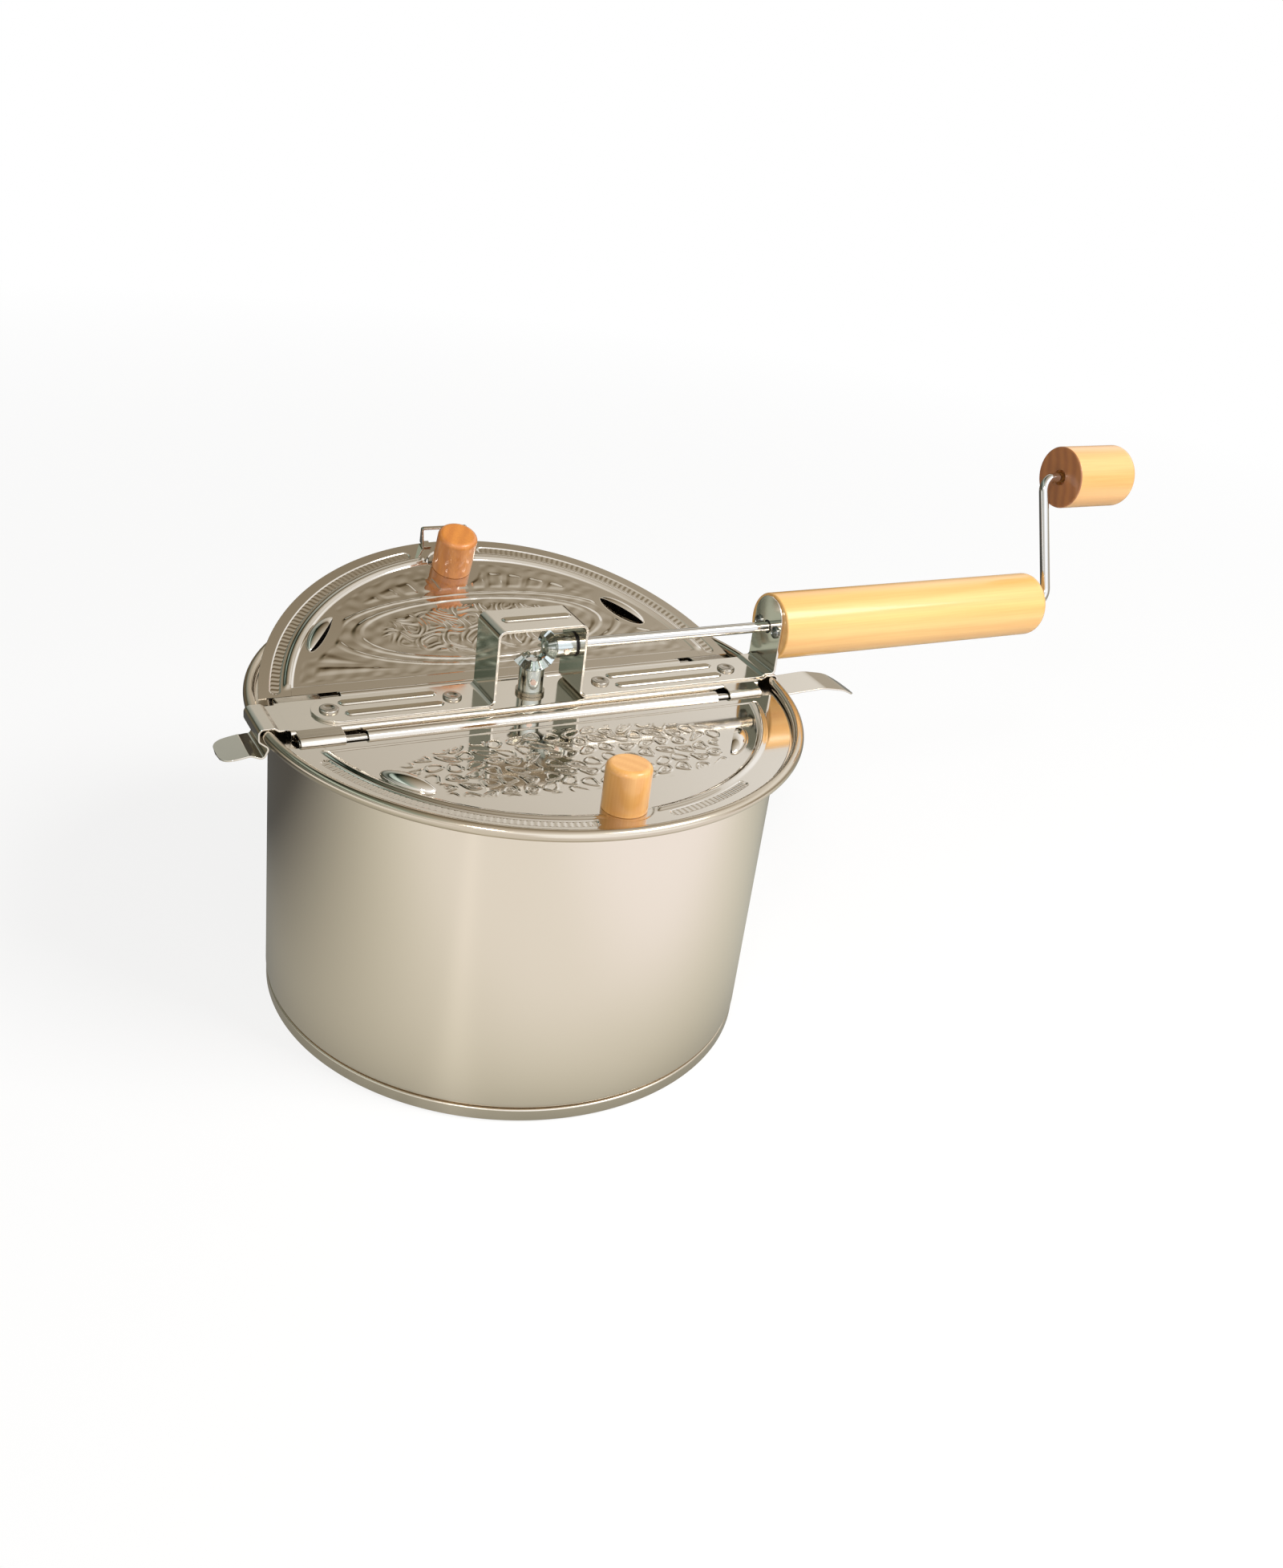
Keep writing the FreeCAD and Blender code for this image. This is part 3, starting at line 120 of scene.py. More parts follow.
def merged(places, normals):
    """Stretches of a path joined into one, without the places that repeat."""
    places, normals = np.concatenate(places), np.concatenate(normals)
    step = np.linalg.norm(np.diff(places, axis=0), axis=1)
    turn = np.linalg.norm(np.diff(normals, axis=0), axis=1)
    keep = np.concatenate([[True], (step > 1e-6) | (turn > 1e-3)])
    places, normals = places[keep], normals[keep]
    along = np.concatenate([[0], np.cumsum(np.linalg.norm(np.diff(places, axis=0), axis=1))])
    return places, normals, along


def arc_along(centre, radius, start, end, clockwise=False):
    """An arc from one angle to another in degrees, C + r (cos a, sin a), with normals left of travel."""
    a = np.radians(np.linspace(start, end, max(3, math.ceil(abs(end - start) / ARC_STEP)) + 1))
    ray = np.stack([np.cos(a), np.sin(a)], 1)
    return np.array(centre) + radius * ray, ray if clockwise else -ray


AXES = {"x": np.eye(3), "z": np.eye(3)[[2, 0, 1]]}          # an axis, then the two across it


def turned(path, axis="z", centre=(0, 0, 0), segments=256):
    """A profile (r, h) carried round an axis: C + h A + r (cos a U + sin a V), normals alike."""
    places, normals, along = path
    main, first, second = AXES[axis]
    a = np.linspace(0, 2 * math.pi, segments + 1)[None, :, None]
    ray = np.cos(a) * first + np.sin(a) * second
    points = np.array(centre) + places[:, None, 1:] * main + places[:, None, :1] * ray
    facing = normals[:, None, 1:] * main + normals[:, None, :1] * ray
    uv = np.stack(np.broadcast_arrays(a[..., 0] / (2 * math.pi), along[:, None] / 100), -1)
    return points, facing, uv


def make_piece(name, patches, body, material, replaced=(), placed=None):
    """One mesh from grids of points in mm with their normals: each four neighbours make a face that looks
    along its normals, points in the same place are one, and a face with two such corners is a triangle."""
    points, normals, uvs, quads, start = [], [], [], [], 0
    for patch in patches:
        rows, columns = patch[0].shape[:2]
        index = np.arange(rows * columns).reshape(rows, columns) + start
        corners = (index[:-1, :-1], index[1:, :-1], index[1:, 1:], index[:-1, 1:])
        quads.append(np.stack(corners, -1).reshape(-1, 4))
        points.append(patch[0].reshape(-1, 3))
        normals.append(patch[1].reshape(-1, 3))
        uvs.append(patch[2].reshape(-1, 2) if len(patch) > 2 else np.zeros((rows * columns, 2)))
        start += rows * columns
    points, normals = np.concatenate(points), np.concatenate(normals)
    uvs, quads = np.concatenate(uvs), np.concatenate(quads)
    if placed is not None:
        points, normals = placed(points, normals)
    points = points * 0.001
    normals = normals / np.maximum(np.linalg.norm(normals, axis=1, keepdims=True), 1e-9)
    a, b, c, d = (points[quads[:, k]] for k in range(4))
    inward = (np.cross(c - a, d - b) * normals[quads].sum(1)).sum(1) < 0
    quads[inward] = quads[inward][:, ::-1]
    # points within a tenth of a micrometre are one
    _same, first, place = np.unique(np.round(points * 1e7).astype(np.int64), axis=0,
                                    return_index=True, return_inverse=True)
    welded = place.reshape(-1)
    repeats = welded[quads] == np.roll(welded[quads], -1, axis=1)
    whole = quads[repeats.sum(1) == 0]
    single = np.nonzero(repeats.sum(1) == 1)[0]
    kept = (repeats[single].argmax(1)[:, None] + np.array([1, 2, 3])) % 4
    triangles = quads[single[:, None], kept]
    triangles = triangles[welded[triangles[:, 0]] != welded[triangles[:, 2]]]
    order = np.concatenate([whole.reshape(-1), triangles.reshape(-1)])
    mesh = bpy.data.meshes.new(name)
    mesh.from_pydata(points[first].tolist(), [], welded[whole].tolist() + welded[triangles].tolist())
    layer = mesh.uv_layers.new(name="surface")
    layer.data.foreach_set("uv", uvs[order].astype(np.float32).ravel())
    mesh.shade_smooth()
    mesh.normals_split_custom_set(normals[order].tolist())
    mesh.update()
    piece = bpy.data.objects.new(name, mesh)
    bpy.context.scene.collection.objects.link(piece)
    mesh.materials.append(material)
    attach(piece, body)
    if replaced:
        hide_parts(*replaced)


def vary_roughness(tree, shader, vector, scale, detail, low, high, span=(0.3, 0.7)):
    """Roughness that goes from low to high as a noise goes through a span; gives the noise's socket."""
    noise = add_node(tree, "ShaderNodeTexNoise", {"Vector": vector, "Scale": scale, "Detail": detail})
    share = add_node(tree, "ShaderNodeMapRange", {
        "Value": noise.outputs["Fac"], "From Min": span[0], "From Max": span[1],
        "To Min": low, "To Max": high})
    tree.links.new(share.outputs["Result"], shader.inputs["Roughness"])
    return noise.outputs["Fac"]


curl_out, curl_out_normals = arc_along(BEAD, BEAD_RADIUS, *BEAD_ROLL)
curl_in, curl_in_normals = arc_along(BEAD, BEAD_RADIUS - SHEET, *BEAD_ROLL[::-1], clockwise=True)
outside = path_along(
    [(0, BASE_TOP), (WALL, BASE_TOP), (WALL, LEDGE), (BEAD[0], LEDGE)], [CORNER, LEDGE_BEND])
inside = path_along(
    [(BEAD[0], LEDGE + SHEET), (WALL - SHEET, LEDGE + SHEET), (WALL - SHEET, BASE_TOP + SHEET),
     (0, BASE_TOP + SHEET)], [LEDGE_BEND_TOP, CORNER - SHEET])
lip = np.stack([curl_out[-1], curl_in[0]])
lip_turn = math.radians(BEAD_ROLL[1])
lip_normal = np.array([[-math.sin(lip_turn), math.cos(lip_turn)]] * 2)
bead_profile = merged([curl_out, lip, curl_in], [-curl_out_normals, lip_normal, -curl_in_normals])

# Stainless steel brushed round the pot: lines along the turn, so a light is drawn out up and down the wall.
brushed_steel, tree, shader, coordinates = new_material(
    "stainless_steel_brushed_round", Metallic=1.0, Base_Color=linear(STEEL_BRUSHED),
    Anisotropic=0.75, Anisotropic_Rotation=0.25)
tangent = add_node(tree, "ShaderNodeTangent", direction_type="UV_MAP", uv_map="surface")
tree.links.new(tangent.outputs["Tangent"], shader.inputs["Tangent"])
vary_roughness(tree, shader, coordinates.outputs["Object"], 14.0, 2.0, 0.17, 0.23)
# brush lines are about 0.1 mm apart; drawn at 0.5 mm, so that they show
strokes = add_node(tree, "ShaderNodeMapping", {
    "Vector": coordinates.outputs["UV"], "Scale": (5.0, 200.0, 1.0)})
lines = add_node(tree, "ShaderNodeTexNoise", {
    "Vector": strokes.outputs["Vector"], "Scale": 1.0, "Detail": 3.0})
brushed = add_node(tree, "ShaderNodeBump", {
    "Height": lines.outputs["Fac"], "Strength": 0.05, "Distance": 0.0002})
tree.links.new(brushed.outputs["Normal"], shader.inputs["Normal"])
walls = [turned((places, -normals, along), segments=360) for places, normals, along in (outside, inside)]
make_piece("pot_shell", walls, "root", brushed_steel, ["pot_body"])

# The bead is polished by the tool that rolls it, so it is a near mirror with faint marks along the roll.
# They are about 0.2 mm apart; drawn at 0.6 mm, so that they show.
bead_steel, tree, shader, coordinates = new_material(
    "stainless_steel_rolled_bead", Metallic=1.0, Base_Color=linear("#C9BCA8"))
marks = add_node(tree, "ShaderNodeMapping", {"Vector": coordinates.outputs["UV"], "Scale": (8.0, 160.0, 1.0)})
vary_roughness(tree, shader, marks.outputs["Vector"], 1.0, 2.0, 0.1, 0.18)
make_piece("pot_bead", [turned(bead_profile, segments=360)], "root", bead_steel)

# ---------------------------------------------------------------- base
# The base is an aluminium disc brazed under the pot, capped by a thin steel pan whose edge is rounded
# below. A fine dark line shows where it meets the pot.

BASE_RADIUS = 113.3
BASE_ROUND = 1.6                # lower edge, then upper edge
BASE_ROUND_TOP = 0.8

places, normals, along = path_along([(0, 0), (BASE_RADIUS, 0), (BASE_RADIUS, BASE_TOP), (0, BASE_TOP)],
                                    [BASE_ROUND, BASE_ROUND_TOP])
# Stainless steel pressed and worn by the stove: a satin light with cloudy scuffs about 10 mm wide.
base_steel, tree, shader, coordinates = new_material(
    "stainless_steel_base_cap", Metallic=1.0, Base_Color=linear("#D2C7B6"))
vary_roughness(tree, shader, coordinates.outputs["Object"], 90.0, 4.0, 0.14, 0.34, span=(0.0, 1.0))
make_piece("base_cap", [turned((places, -normals, along))], "root", base_steel,
           ["base_disc"])

# ---------------------------------------------------------------- bridge plate and hinges
# One strip of bright rolled stainless sheet spans the pot. Its long edges are turned down, its ends hook
# over the bead and run out into tongues, and four ears are rolled into the outer knuckles of the hinges.

PLATE_TOP = 150.4
PLATE_END = 112.0               # end of the wide part
PLATE_HALF = 14.2
PLATE_DROP = 4.9                # how far the long edges are turned down
PLATE_BEND = 1.2
CLIP_HALF = 11.5                # half widths of the clips and of the tongues
TONGUE_HALF = 10.0
TONGUE_TIP = 9.0                # length of a tongue's rounded end
HINGE_Y = 18.5
HINGE_Z = 146.5
PIN = 1.95
PIN_HALF = 110.4                # half length of a hinge pin
BARREL = 3.3                    # outside of knuckles and barrels
KNUCKLES = ((-110.0, -91.0), (93.0, 110.0))
EAR_LEAN = 13.0                 # where an ear leaves the plate's level
STEEL_BRIGHT = "#DCD4C7"


def end_caps(points, travel, middles):
    """Flat caps on the first and last outline of a carried section, each a fan from its middle."""
    caps = []
    for index, sign in ((0, -1), (-1, 1)):
        middle = np.broadcast_to(middles[index], points[index].shape)
        facing = np.broadcast_to(sign * travel[index], (2,) + middle.shape)
        caps.append((np.stack([points[index], middle]), facing))
    return caps


def sheet_along(path, thickness, half_width, level, across, edge=0.2, columns=3, relief=None):
    """Sheet bent along a path: the section's rounded outline (y, h) is carried along it, P = c + h n + y A.
    Its half width may vary along the path, and a relief (distance, y) lifts the whole sheet along n."""
    places, normals, along = path
    wide = np.broadcast_to(np.asarray(half_width, float), along.shape)
    level, across, up = np.array(level, float), np.array(across, float), np.array([0, 0, 1.0])
    line = places[:, :1] * level + places[:, 1:] * up
    normal = normals[:, :1] * level + normals[:, 1:] * up
    travel = normals[:, 1:] * level - normals[:, :1] * up
    half = thickness / 2
    a = np.radians(np.linspace(0, 90, 4))
    fine = np.linspace(-1, 1, columns)[1:-1]
    share, shift, height, out, lift = [], [], [], [], []
    for start, side, sign in ((0, 1, 1), (90, -1, 1), (180, -1, -1), (270, 1, -1)):
        turn = a + math.radians(start)
        share += [side] * 4
        shift += list(edge * np.cos(turn))
        height += list(sign * (half - edge) + edge * np.sin(turn))
        out += list(np.cos(turn))
        lift += list(np.sin(turn))
        if start in (0, 180):
            between = fine[::-1] if start == 0 else fine
            share += list(between)
            shift += [0.0] * len(between)
            height += [sign * half] * len(between)
            out += [0.0] * len(between)
            lift += [float(sign)] * len(between)
    section = (share, shift, height, out, lift)
    share, shift, height, out, lift = (np.array(v + v[:1])[None, :, None] for v in section)
    body = np.maximum(wide - edge, 0.0)[:, None, None]
    # places that repeat along the path are taken 1e-7 mm apart
    apart = np.maximum.accumulate(along + np.arange(len(along)) * 1e-7)
    slope = np.gradient(wide, apart)[:, None, None]
    y = share * body + shift * np.minimum(wide / edge, 1.0)[:, None, None]
    points = line[:, None] + height * normal[:, None] + y * across
    lean = out * (across - np.sign(out) * slope * travel[:, None]) / np.sqrt(1 + slope ** 2)
    facing = lift * normal[:, None] + lean
    if relief is not None:
        s = np.broadcast_to(along[:, None], y.shape[:2])
        flat = y[..., 0]
        step = 0.05
        rise = relief(s, flat)
        by_s = (relief(s + step, flat) - relief(s - step, flat)) / (2 * step)
        by_y = (relief(s, flat + step) - relief(s, flat - step)) / (2 * step)
        points = points + rise[..., None] * normal[:, None]
        facing = facing - lift * (by_s[..., None] * travel[:, None] + by_y[..., None] * across)
    return [(points, facing)] + end_caps(points, travel, points[:, :-1].mean(1))


def smooth(value):
    """The step 3 t2 - 2 t3 between 0 and 1."""
    t = np.clip(value, 0, 1)
    return t * t * (3 - 2 * t)


def rolled_edge(corners, bend, radius, start, end, clockwise=False):
    """A sheet's edge rolled round the hinge pin: a run through corners, then an arc C + r (cos a, sin a)."""
    places, normals, _along = path_along(corners, [bend])
    arc, facing = arc_along((HINGE_Y, HINGE_Z), radius, start, end, clockwise)
    return merged([places, arc], [normals, facing])


def bright_steel(name, code, roughness, line_scale):
    """Bright metal: a mirror finish with faint lines from rolling, drawing or turning, and small waves
    about 25 mm long that bend what it mirrors."""
    material, tree, shader, coordinates = new_material(name, Metallic=1.0, Base_Color=linear(code))
    place = coordinates.outputs["Object"]
    stretched = add_node(tree, "ShaderNodeMapping", {"Vector": place, "Scale": line_scale})
    lines = vary_roughness(tree, shader, stretched.outputs["Vector"], 1.0, 3.0,
                           roughness * 0.75, roughness * 1.35)
    waves = add_node(tree, "ShaderNodeTexNoise", {"Vector": place, "Scale": 40.0, "Detail": 1.0})
    wavy = add_node(tree, "ShaderNodeBump", {
        "Height": waves.outputs["Fac"], "Strength": 0.06, "Distance": 0.0006})
    lined = add_node(tree, "ShaderNodeBump", {
        "Height": lines, "Strength": 0.03, "Distance": 0.0001, "Normal": wavy.outputs["Normal"]})
    tree.links.new(lined.outputs["Normal"], shader.inputs["Normal"])
    return material


# rolling lines are about 0.05 mm apart; drawn at 0.4 mm across the sheet and some 25 mm long
sheet_steel = bright_steel("stainless_steel_bright_rolled", STEEL_BRIGHT, 0.1, (40.0, 2500.0, 2500.0))

X, Y = (1, 0, 0), (0, 1, 0)
middle_z = PLATE_TOP - SHEET / 2
bead_x, bead_z = BEAD
over_bead = BEAD_RADIUS + 0.1 + SHEET / 2
hump_z = bead_z + over_bead
out_x = bead_x + over_bead
clip = [(PLATE_END, middle_z), (bead_x - 5.2, middle_z), (bead_x - 3.4, hump_z), (out_x, hump_z),
        (out_x, bead_z - 2.3), (bead_x - 1.3, bead_z - 5.8), (bead_x + 0.9, bead_z - 10.1),
        (bead_x + 6.3, bead_z - 9.2)]
CLIP_BENDS = [1.2, 1.6, 2.4, 1.8, 1.8, 1.8, 1.8]
TONGUE_BEND = 22.0
short_tongue = clip + [(bead_x + 18.02, bead_z - 11.3)]
long_tongue = clip + [(bead_x + 33.0, bead_z - 7.9), (bead_x + 46.0, bead_z - 10.3),
                      (bead_x + 54.3, bead_z - 14.6)]


def clip_patches(corners):
    """One end of the bridge plate: hook and tongue as one bent strip. It narrows past the hook's foot, and
    its end is a superellipse, half (1 - q3) ** (1/3) with q the way into the end over the end's length."""
    bends = CLIP_BENDS + [TONGUE_BEND] * (len(corners) - len(clip) - 1)
    places, normals, along = path_along(corners, bends, spacing=0.5)
    foot = np.nonzero((places[:, 0] > bead_x + 5.8) & (places[:, 1] < bead_z - 8.0))[0][0]
    half = CLIP_HALF - (CLIP_HALF - TONGUE_HALF) * smooth((along - along[foot] + 4.0) / 4.0)
    q = np.clip((along - along[-1] + TONGUE_TIP) / TONGUE_TIP, 0, 1)
    return sheet_along((places, normals, along), SHEET, half * (1 - q ** 3) ** (1 / 3), X, Y)


def mirrored_x(patches):
    """Patches mirrored in the plane x = 0."""
    return [(points * [-1, 1, 1], facing * [-1, 1, 1]) for points, facing in patches]


def mirrored_y(patches):
    """Patches mirrored in the plane y = 0."""
    return [(points * [1, -1, 1], facing * [1, -1, 1]) for points, facing in patches]


def extruded(path, thickness, low, high, edge=0.2):
    """Sheet bent along a (y, z) path and carried along X from low to high."""
    middle = (low + high) / 2
    patches = sheet_along(path, thickness, (high - low) / 2, Y, X, edge=edge)
    return [(points + [middle, 0, 0], facing) for points, facing in patches]


edge_y = PLATE_HALF - SHEET / 2
wide_plate = path_along([(-edge_y, PLATE_TOP - PLATE_DROP), (-edge_y, middle_z), (edge_y, middle_z),
                         (edge_y, PLATE_TOP - PLATE_DROP)], [PLATE_BEND] * 2)
plate_patches = extruded(wide_plate, SHEET, -PLATE_END, PLATE_END, edge=0.02)
plate_patches += clip_patches(long_tongue) + mirrored_x(clip_patches(short_tongue))
# an ear starts where the plate's edge turns down, and is rolled from its top 280 degrees round the pin
ear_radius = BARREL - SHEET / 2
ear = rolled_edge([(edge_y - PLATE_BEND, middle_z), (EAR_LEAN, middle_z), (HINGE_Y, HINGE_Z + ear_radius)],
                  PLATE_BEND, ear_radius, 90, -190, clockwise=True)
for low, high in KNUCKLES:
    rolled = extruded(ear, SHEET, low, high)
    plate_patches += rolled + mirrored_y(rolled)
make_piece("bridge_plate_sheet", plate_patches, "root", sheet_steel, ["bridge_plate"])

# hinge pins: bright drawn wire, cut square, a little duller and darker than the sheet
pin_steel = bright_steel("drawn_steel_pin", "#B9B2A6", 0.16, (60.0, 2000.0, 2000.0))
pin_profile = path_along([(0, PIN_HALF), (PIN, PIN_HALF), (PIN, -PIN_HALF), (0, -PIN_HALF)], [0.3, 0.3])
for name, y in (("front", -HINGE_Y), ("back", HINGE_Y)):
    make_piece(name + "_pin_wire", [turned(pin_profile, "x", (0, y, HINGE_Z), 40)], "root",
               pin_steel, [name + "_hinge_pin"])

# ---------------------------------------------------------------- gear bracket
# A strip of 1.2 mm bright sheet lies on the bridge plate as two riveted feet, rises into an arch over the
# gears, and stands up at the rim to carry the handle. Pressed ribs stiffen the feet and the arch's top.

STRIP = 1.2
STRIP_HALF = 11.5
FOOT_START = -99.5
LEGS = (-21.9, 19.7)            # the arch's legs
ARCH = 35.6                     # height of the arch over the plate
ARCH_BEND = 3.0
CRANK_Z = 172.0
foot_z = PLATE_TOP + STRIP / 2
arch_z = PLATE_TOP + ARCH - STRIP / 2
shelf_z = foot_z + 1.3          # a step up to the rim, under the upright
upright_x = bead_x + 0.7
upright_top = CRANK_Z + 3.5 + STRIP_HALF
bracket_path = path_along(
    [(FOOT_START, foot_z), (LEGS[0], foot_z), (LEGS[0], arch_z), (LEGS[1], arch_z), (LEGS[1], foot_z),
     (bead_x - 6.4, foot_z), (bead_x - 4.4, shelf_z), (upright_x, shelf_z), (upright_x, upright_top)],
    [ARCH_BEND] * 4 + [1.4, 1.6, 1.8], spacing=0.6)
strip_places, _normals, strip_along = bracket_path


def path_distance(x, z):
    """Distance along the bracket's path at its point nearest to (x, z)."""
    return strip_along[np.argmin(np.hypot(strip_places[:, 0] - x, strip_places[:, 1] - z))]


RIB_HALF = 2.5
RIB_RISE = 0.8
CROWN = 0.62                    # share of a rib's half width that carries painted shade
RIBS = [(path_distance(start, foot_z), path_distance(end, foot_z), middle)
        for start, end in ((-84, -45), (43, 94)) for middle in (-5.0, 5.0)]
RIBS += [(path_distance(-14, arch_z), path_distance(14, arch_z), 0.0)]


def rib_relief(s, y):
    """Height of the pressed ribs: a low crown, rise (1 - 0.34 q2), that drops to the sheet over the last
    third, with q the distance to a rib's line over its half width."""
    rise = np.zeros(np.broadcast(s, y).shape)
    for start, end, middle in RIBS:
        beyond = np.maximum(np.maximum(start - s, s - end), 0)
        q = np.hypot(beyond, y - middle) / RIB_HALF
        rise = np.maximum(rise, RIB_RISE * (1 - 0.34 * q * q) * smooth((1.04 - q) / 0.36))
    return rise


def rib_crown(start, end, middle):
    """A skin of painted shade on the top of a rib, 0.03 mm over it: within r of its line, so y goes to
    sqrt(r2 - b2) on both sides, with b how far the distance s is past the line's end."""
    reach = CROWN * RIB_HALF
    share = np.sin(np.linspace(-90, 90, 121) * math.pi / 180)[:, None]
    s = (start + end) / 2 + share * ((end - start) / 2 + reach)
    beyond = np.maximum(np.maximum(start - s, s - end), 0)
    y = middle + np.linspace(-1, 1, 13)[None, :] * np.sqrt(np.maximum(reach ** 2 - beyond ** 2, 0))
    s, y = np.broadcast_arrays(s, y)
    x, z = (np.interp(s, strip_along, strip_places[:, k]) for k in (0, 1))
    points = np.stack([x, y, z + STRIP / 2 + rib_relief(s, y) + 0.03], -1)
    return points, np.broadcast_to([0.0, 0.0, 1.0], points.shape)


to_end = np.minimum(strip_along, strip_along[-1] - strip_along)
round_ends = np.sqrt(STRIP_HALF ** 2 - np.maximum(STRIP_HALF - to_end, 0) ** 2)
bracket = sheet_along(bracket_path, STRIP, round_ends, X, Y, columns=69, relief=rib_relief)
make_piece("gear_bracket_strip", bracket, "root", sheet_steel, ["gear_bracket"])

# painted shade: the ribs' crowns carry a flat darker tan and a rougher finish, so they show tan beside the
# mirror finish
rib_painted_shade = bright_steel("stainless_steel_rib_painted_shade", "#AFA085", 0.3, (60.0, 2500.0, 2500.0))
make_piece("rib_crowns_painted_shade", [rib_crown(*rib) for rib in RIBS], "root", rib_painted_shade)

# rivets: steel, set with a round flat head that is dished in the middle, and duller than the sheet
RIVETS = (-92.0, -37.0, 35.0, 102.0)
rivet_steel = bright_steel("steel_rivet_head", "#B5AC9E", 0.2, (300.0, 300.0, 300.0))
rivet_top = PLATE_TOP + STRIP
rivet_profile = path_along(
    [(0, rivet_top + 0.75), (1.2, rivet_top + 0.8), (2.5, rivet_top + 1.2), (4.15, rivet_top + 1.15),
     (4.25, rivet_top - 0.2), (2.0, rivet_top - 0.2), (2.0, PLATE_TOP - 0.8),
     (4.0, PLATE_TOP - 0.8), (4.0, PLATE_TOP - 2.0), (0, PLATE_TOP - 2.0)],
    [0.8, 0.8, 0.75, 0.02, 0.02, 0.02, 0.02, 0.3])
rivets = [turned(rivet_profile, "z", (x, 0, 0), 48) for x in RIVETS]
make_piece("rivet_heads", rivets, "root", rivet_steel, ["bracket_rivets"])

# ---------------------------------------------------------------- handle
# The grip is a turned birch dowel, bored for the crank rod, with clear gloss lacquer. Two round-head
# screws pull it against the upright.

GRIP_START = 122.8
GRIP_LENGTH = 161.2
GRIP_RADIUS = 15.875
GRIP_BORE = 3.0
NEAR_ROUND = 0.9                # round of a dowel's near edge, then of its far edge
FAR_ROUND = 5.0
SCREW_Y = 7.3
# end grain's tones: its own browner tone, darkened further as painted shade of a face turned from the light
END_GRAIN_AND_SHADE = ("#A8693A", "#B9773F")


def two_tones(tree, share, low, high, codes):
    """A colour that goes from the first code to the second as a share goes from low to high."""
    blend = add_node(tree, "ShaderNodeMapRange", {"Value": share, "From Min": low, "From Max": high})
    mixed = add_node(tree, "ShaderNodeMix", {
        0: blend.outputs["Result"], 6: linear(codes[0]), 7: linear(codes[1])}, data_type="RGBA")
    return mixed.outputs[2]


def lacquered_wood(name, pale, deep, grain, pith, sways, end=0.0):
    """Birch under clear gloss lacquer, which gives pale wood with soft clouds along the grain below a sharp
    light. Its tone is 0.2 ring + 0.8 cloud + 0.1 fibre, with the rings round a pith outside the piece and
    swayed by a noise. End grain, which lies below end on the grain's axis in metres, is browner: partly its
    own tone and partly painted shade, as that face is turned from the light."""
    # growth rings are about 3 mm apart and fibres hair thin; drawn at 6 mm and 0.7 mm, so that they show
    stretch, fibre_scale = (0.12, 1.0, 1.0), (30.0, 1400.0, 1400.0)
    if grain == "Z":
        stretch, fibre_scale = stretch[::-1], fibre_scale[::-1]
    material, tree, shader, coordinates = new_material(
        name, Roughness=0.42, IOR=1.5, Coat_Weight=0.9, Coat_Roughness=0.14, Coat_IOR=1.5)
    here = coordinates.outputs["Object"]
    mapped = add_node(tree, "ShaderNodeMapping", {"Vector": here, "Location": pith, "Scale": stretch})
    place = mapped.outputs["Vector"]
    sway = add_node(tree, "ShaderNodeTexNoise", {"Vector": place, "Scale": sways, "Detail": 2.0})
    swayed = add_node(tree, "ShaderNodeVectorMath", {
        0: sway.outputs["Color"], 1: (0.012, 0.012, 0.012), 2: place}, operation="MULTIPLY_ADD")
    rings = add_node(tree, "ShaderNodeTexWave", {
        "Vector": swayed.outputs["Vector"], "Scale": 52.0, "Distortion": 1.2, "Detail": 2.0,
        "Detail Scale": 1.5}, wave_type="RINGS", rings_direction=grain)
    clouds = add_node(tree, "ShaderNodeTexNoise", {"Vector": place, "Scale": 30.0, "Detail": 2.0})
    drawn = add_node(tree, "ShaderNodeMapping", {"Vector": here, "Scale": fibre_scale})
    fibres = add_node(tree, "ShaderNodeTexNoise", {
        "Vector": drawn.outputs["Vector"], "Scale": 1.0, "Detail": 3.0})
    streaks = add_node(tree, "ShaderNodeMapRange", {
        "Value": fibres.outputs["Fac"], "From Min": 0.3, "From Max": 0.7, "To Min": -0.1, "To Max": 0.1})
    clouded = add_node(tree, "ShaderNodeMath", {
        0: clouds.outputs["Fac"], 1: 0.8, 2: streaks.outputs["Result"]}, operation="MULTIPLY_ADD")
    ringed = add_node(tree, "ShaderNodeMath", {
        0: rings.outputs["Fac"], 1: 0.2, 2: clouded.outputs[0]}, operation="MULTIPLY_ADD")
    apart = add_node(tree, "ShaderNodeSeparateXYZ", {0: here})
    cut = add_node(tree, "ShaderNodeMath", {0: apart.outputs[grain], 1: end}, operation="LESS_THAN")
    tone = add_node(tree, "ShaderNodeMix", {
        0: cut.outputs[0], 6: two_tones(tree, ringed.outputs[0], 0.12, 0.85, (deep, pale)),
        7: two_tones(tree, rings.outputs["Fac"], 0.0, 1.0, END_GRAIN_AND_SHADE)}, data_type="RGBA")
    tree.links.new(tone.outputs[2], shader.inputs["Base Color"])
    raised = add_node(tree, "ShaderNodeBump", {
        "Height": fibres.outputs["Fac"], "Strength": 0.04, "Distance": 0.0002})
    tree.links.new(raised.outputs["Normal"], shader.inputs["Normal"])
    return material


def dowel_profile(start, length, bore, recess=None, counterbore=None):
    """Half section of a dowel along its own axis, bored through, with its near edge broken and its far edge
    rounded. A recess in the near end and a counterbore in the far end are a radius and a depth."""
    end = start + length
    near, far = [(bore, start)], [(bore, end)]
    if recess is not None:
        near = [(bore, start + recess[1]), (recess[0], start + recess[1]), (recess[0], start)]
    if counterbore is not None:
        far = [(counterbore[0], end), (counterbore[0], end - counterbore[1]), (bore, end - counterbore[1])]
    corners = near + [(GRIP_RADIUS, start), (GRIP_RADIUS, end)] + far + near[:1]
    bends = [0.3] * (len(near) - 1) + [NEAR_ROUND, FAR_ROUND] + [0.6] * (len(far) - 1) + [0.4]
    places, normals, along = path_along(corners, bends)
    return places, -normals, along


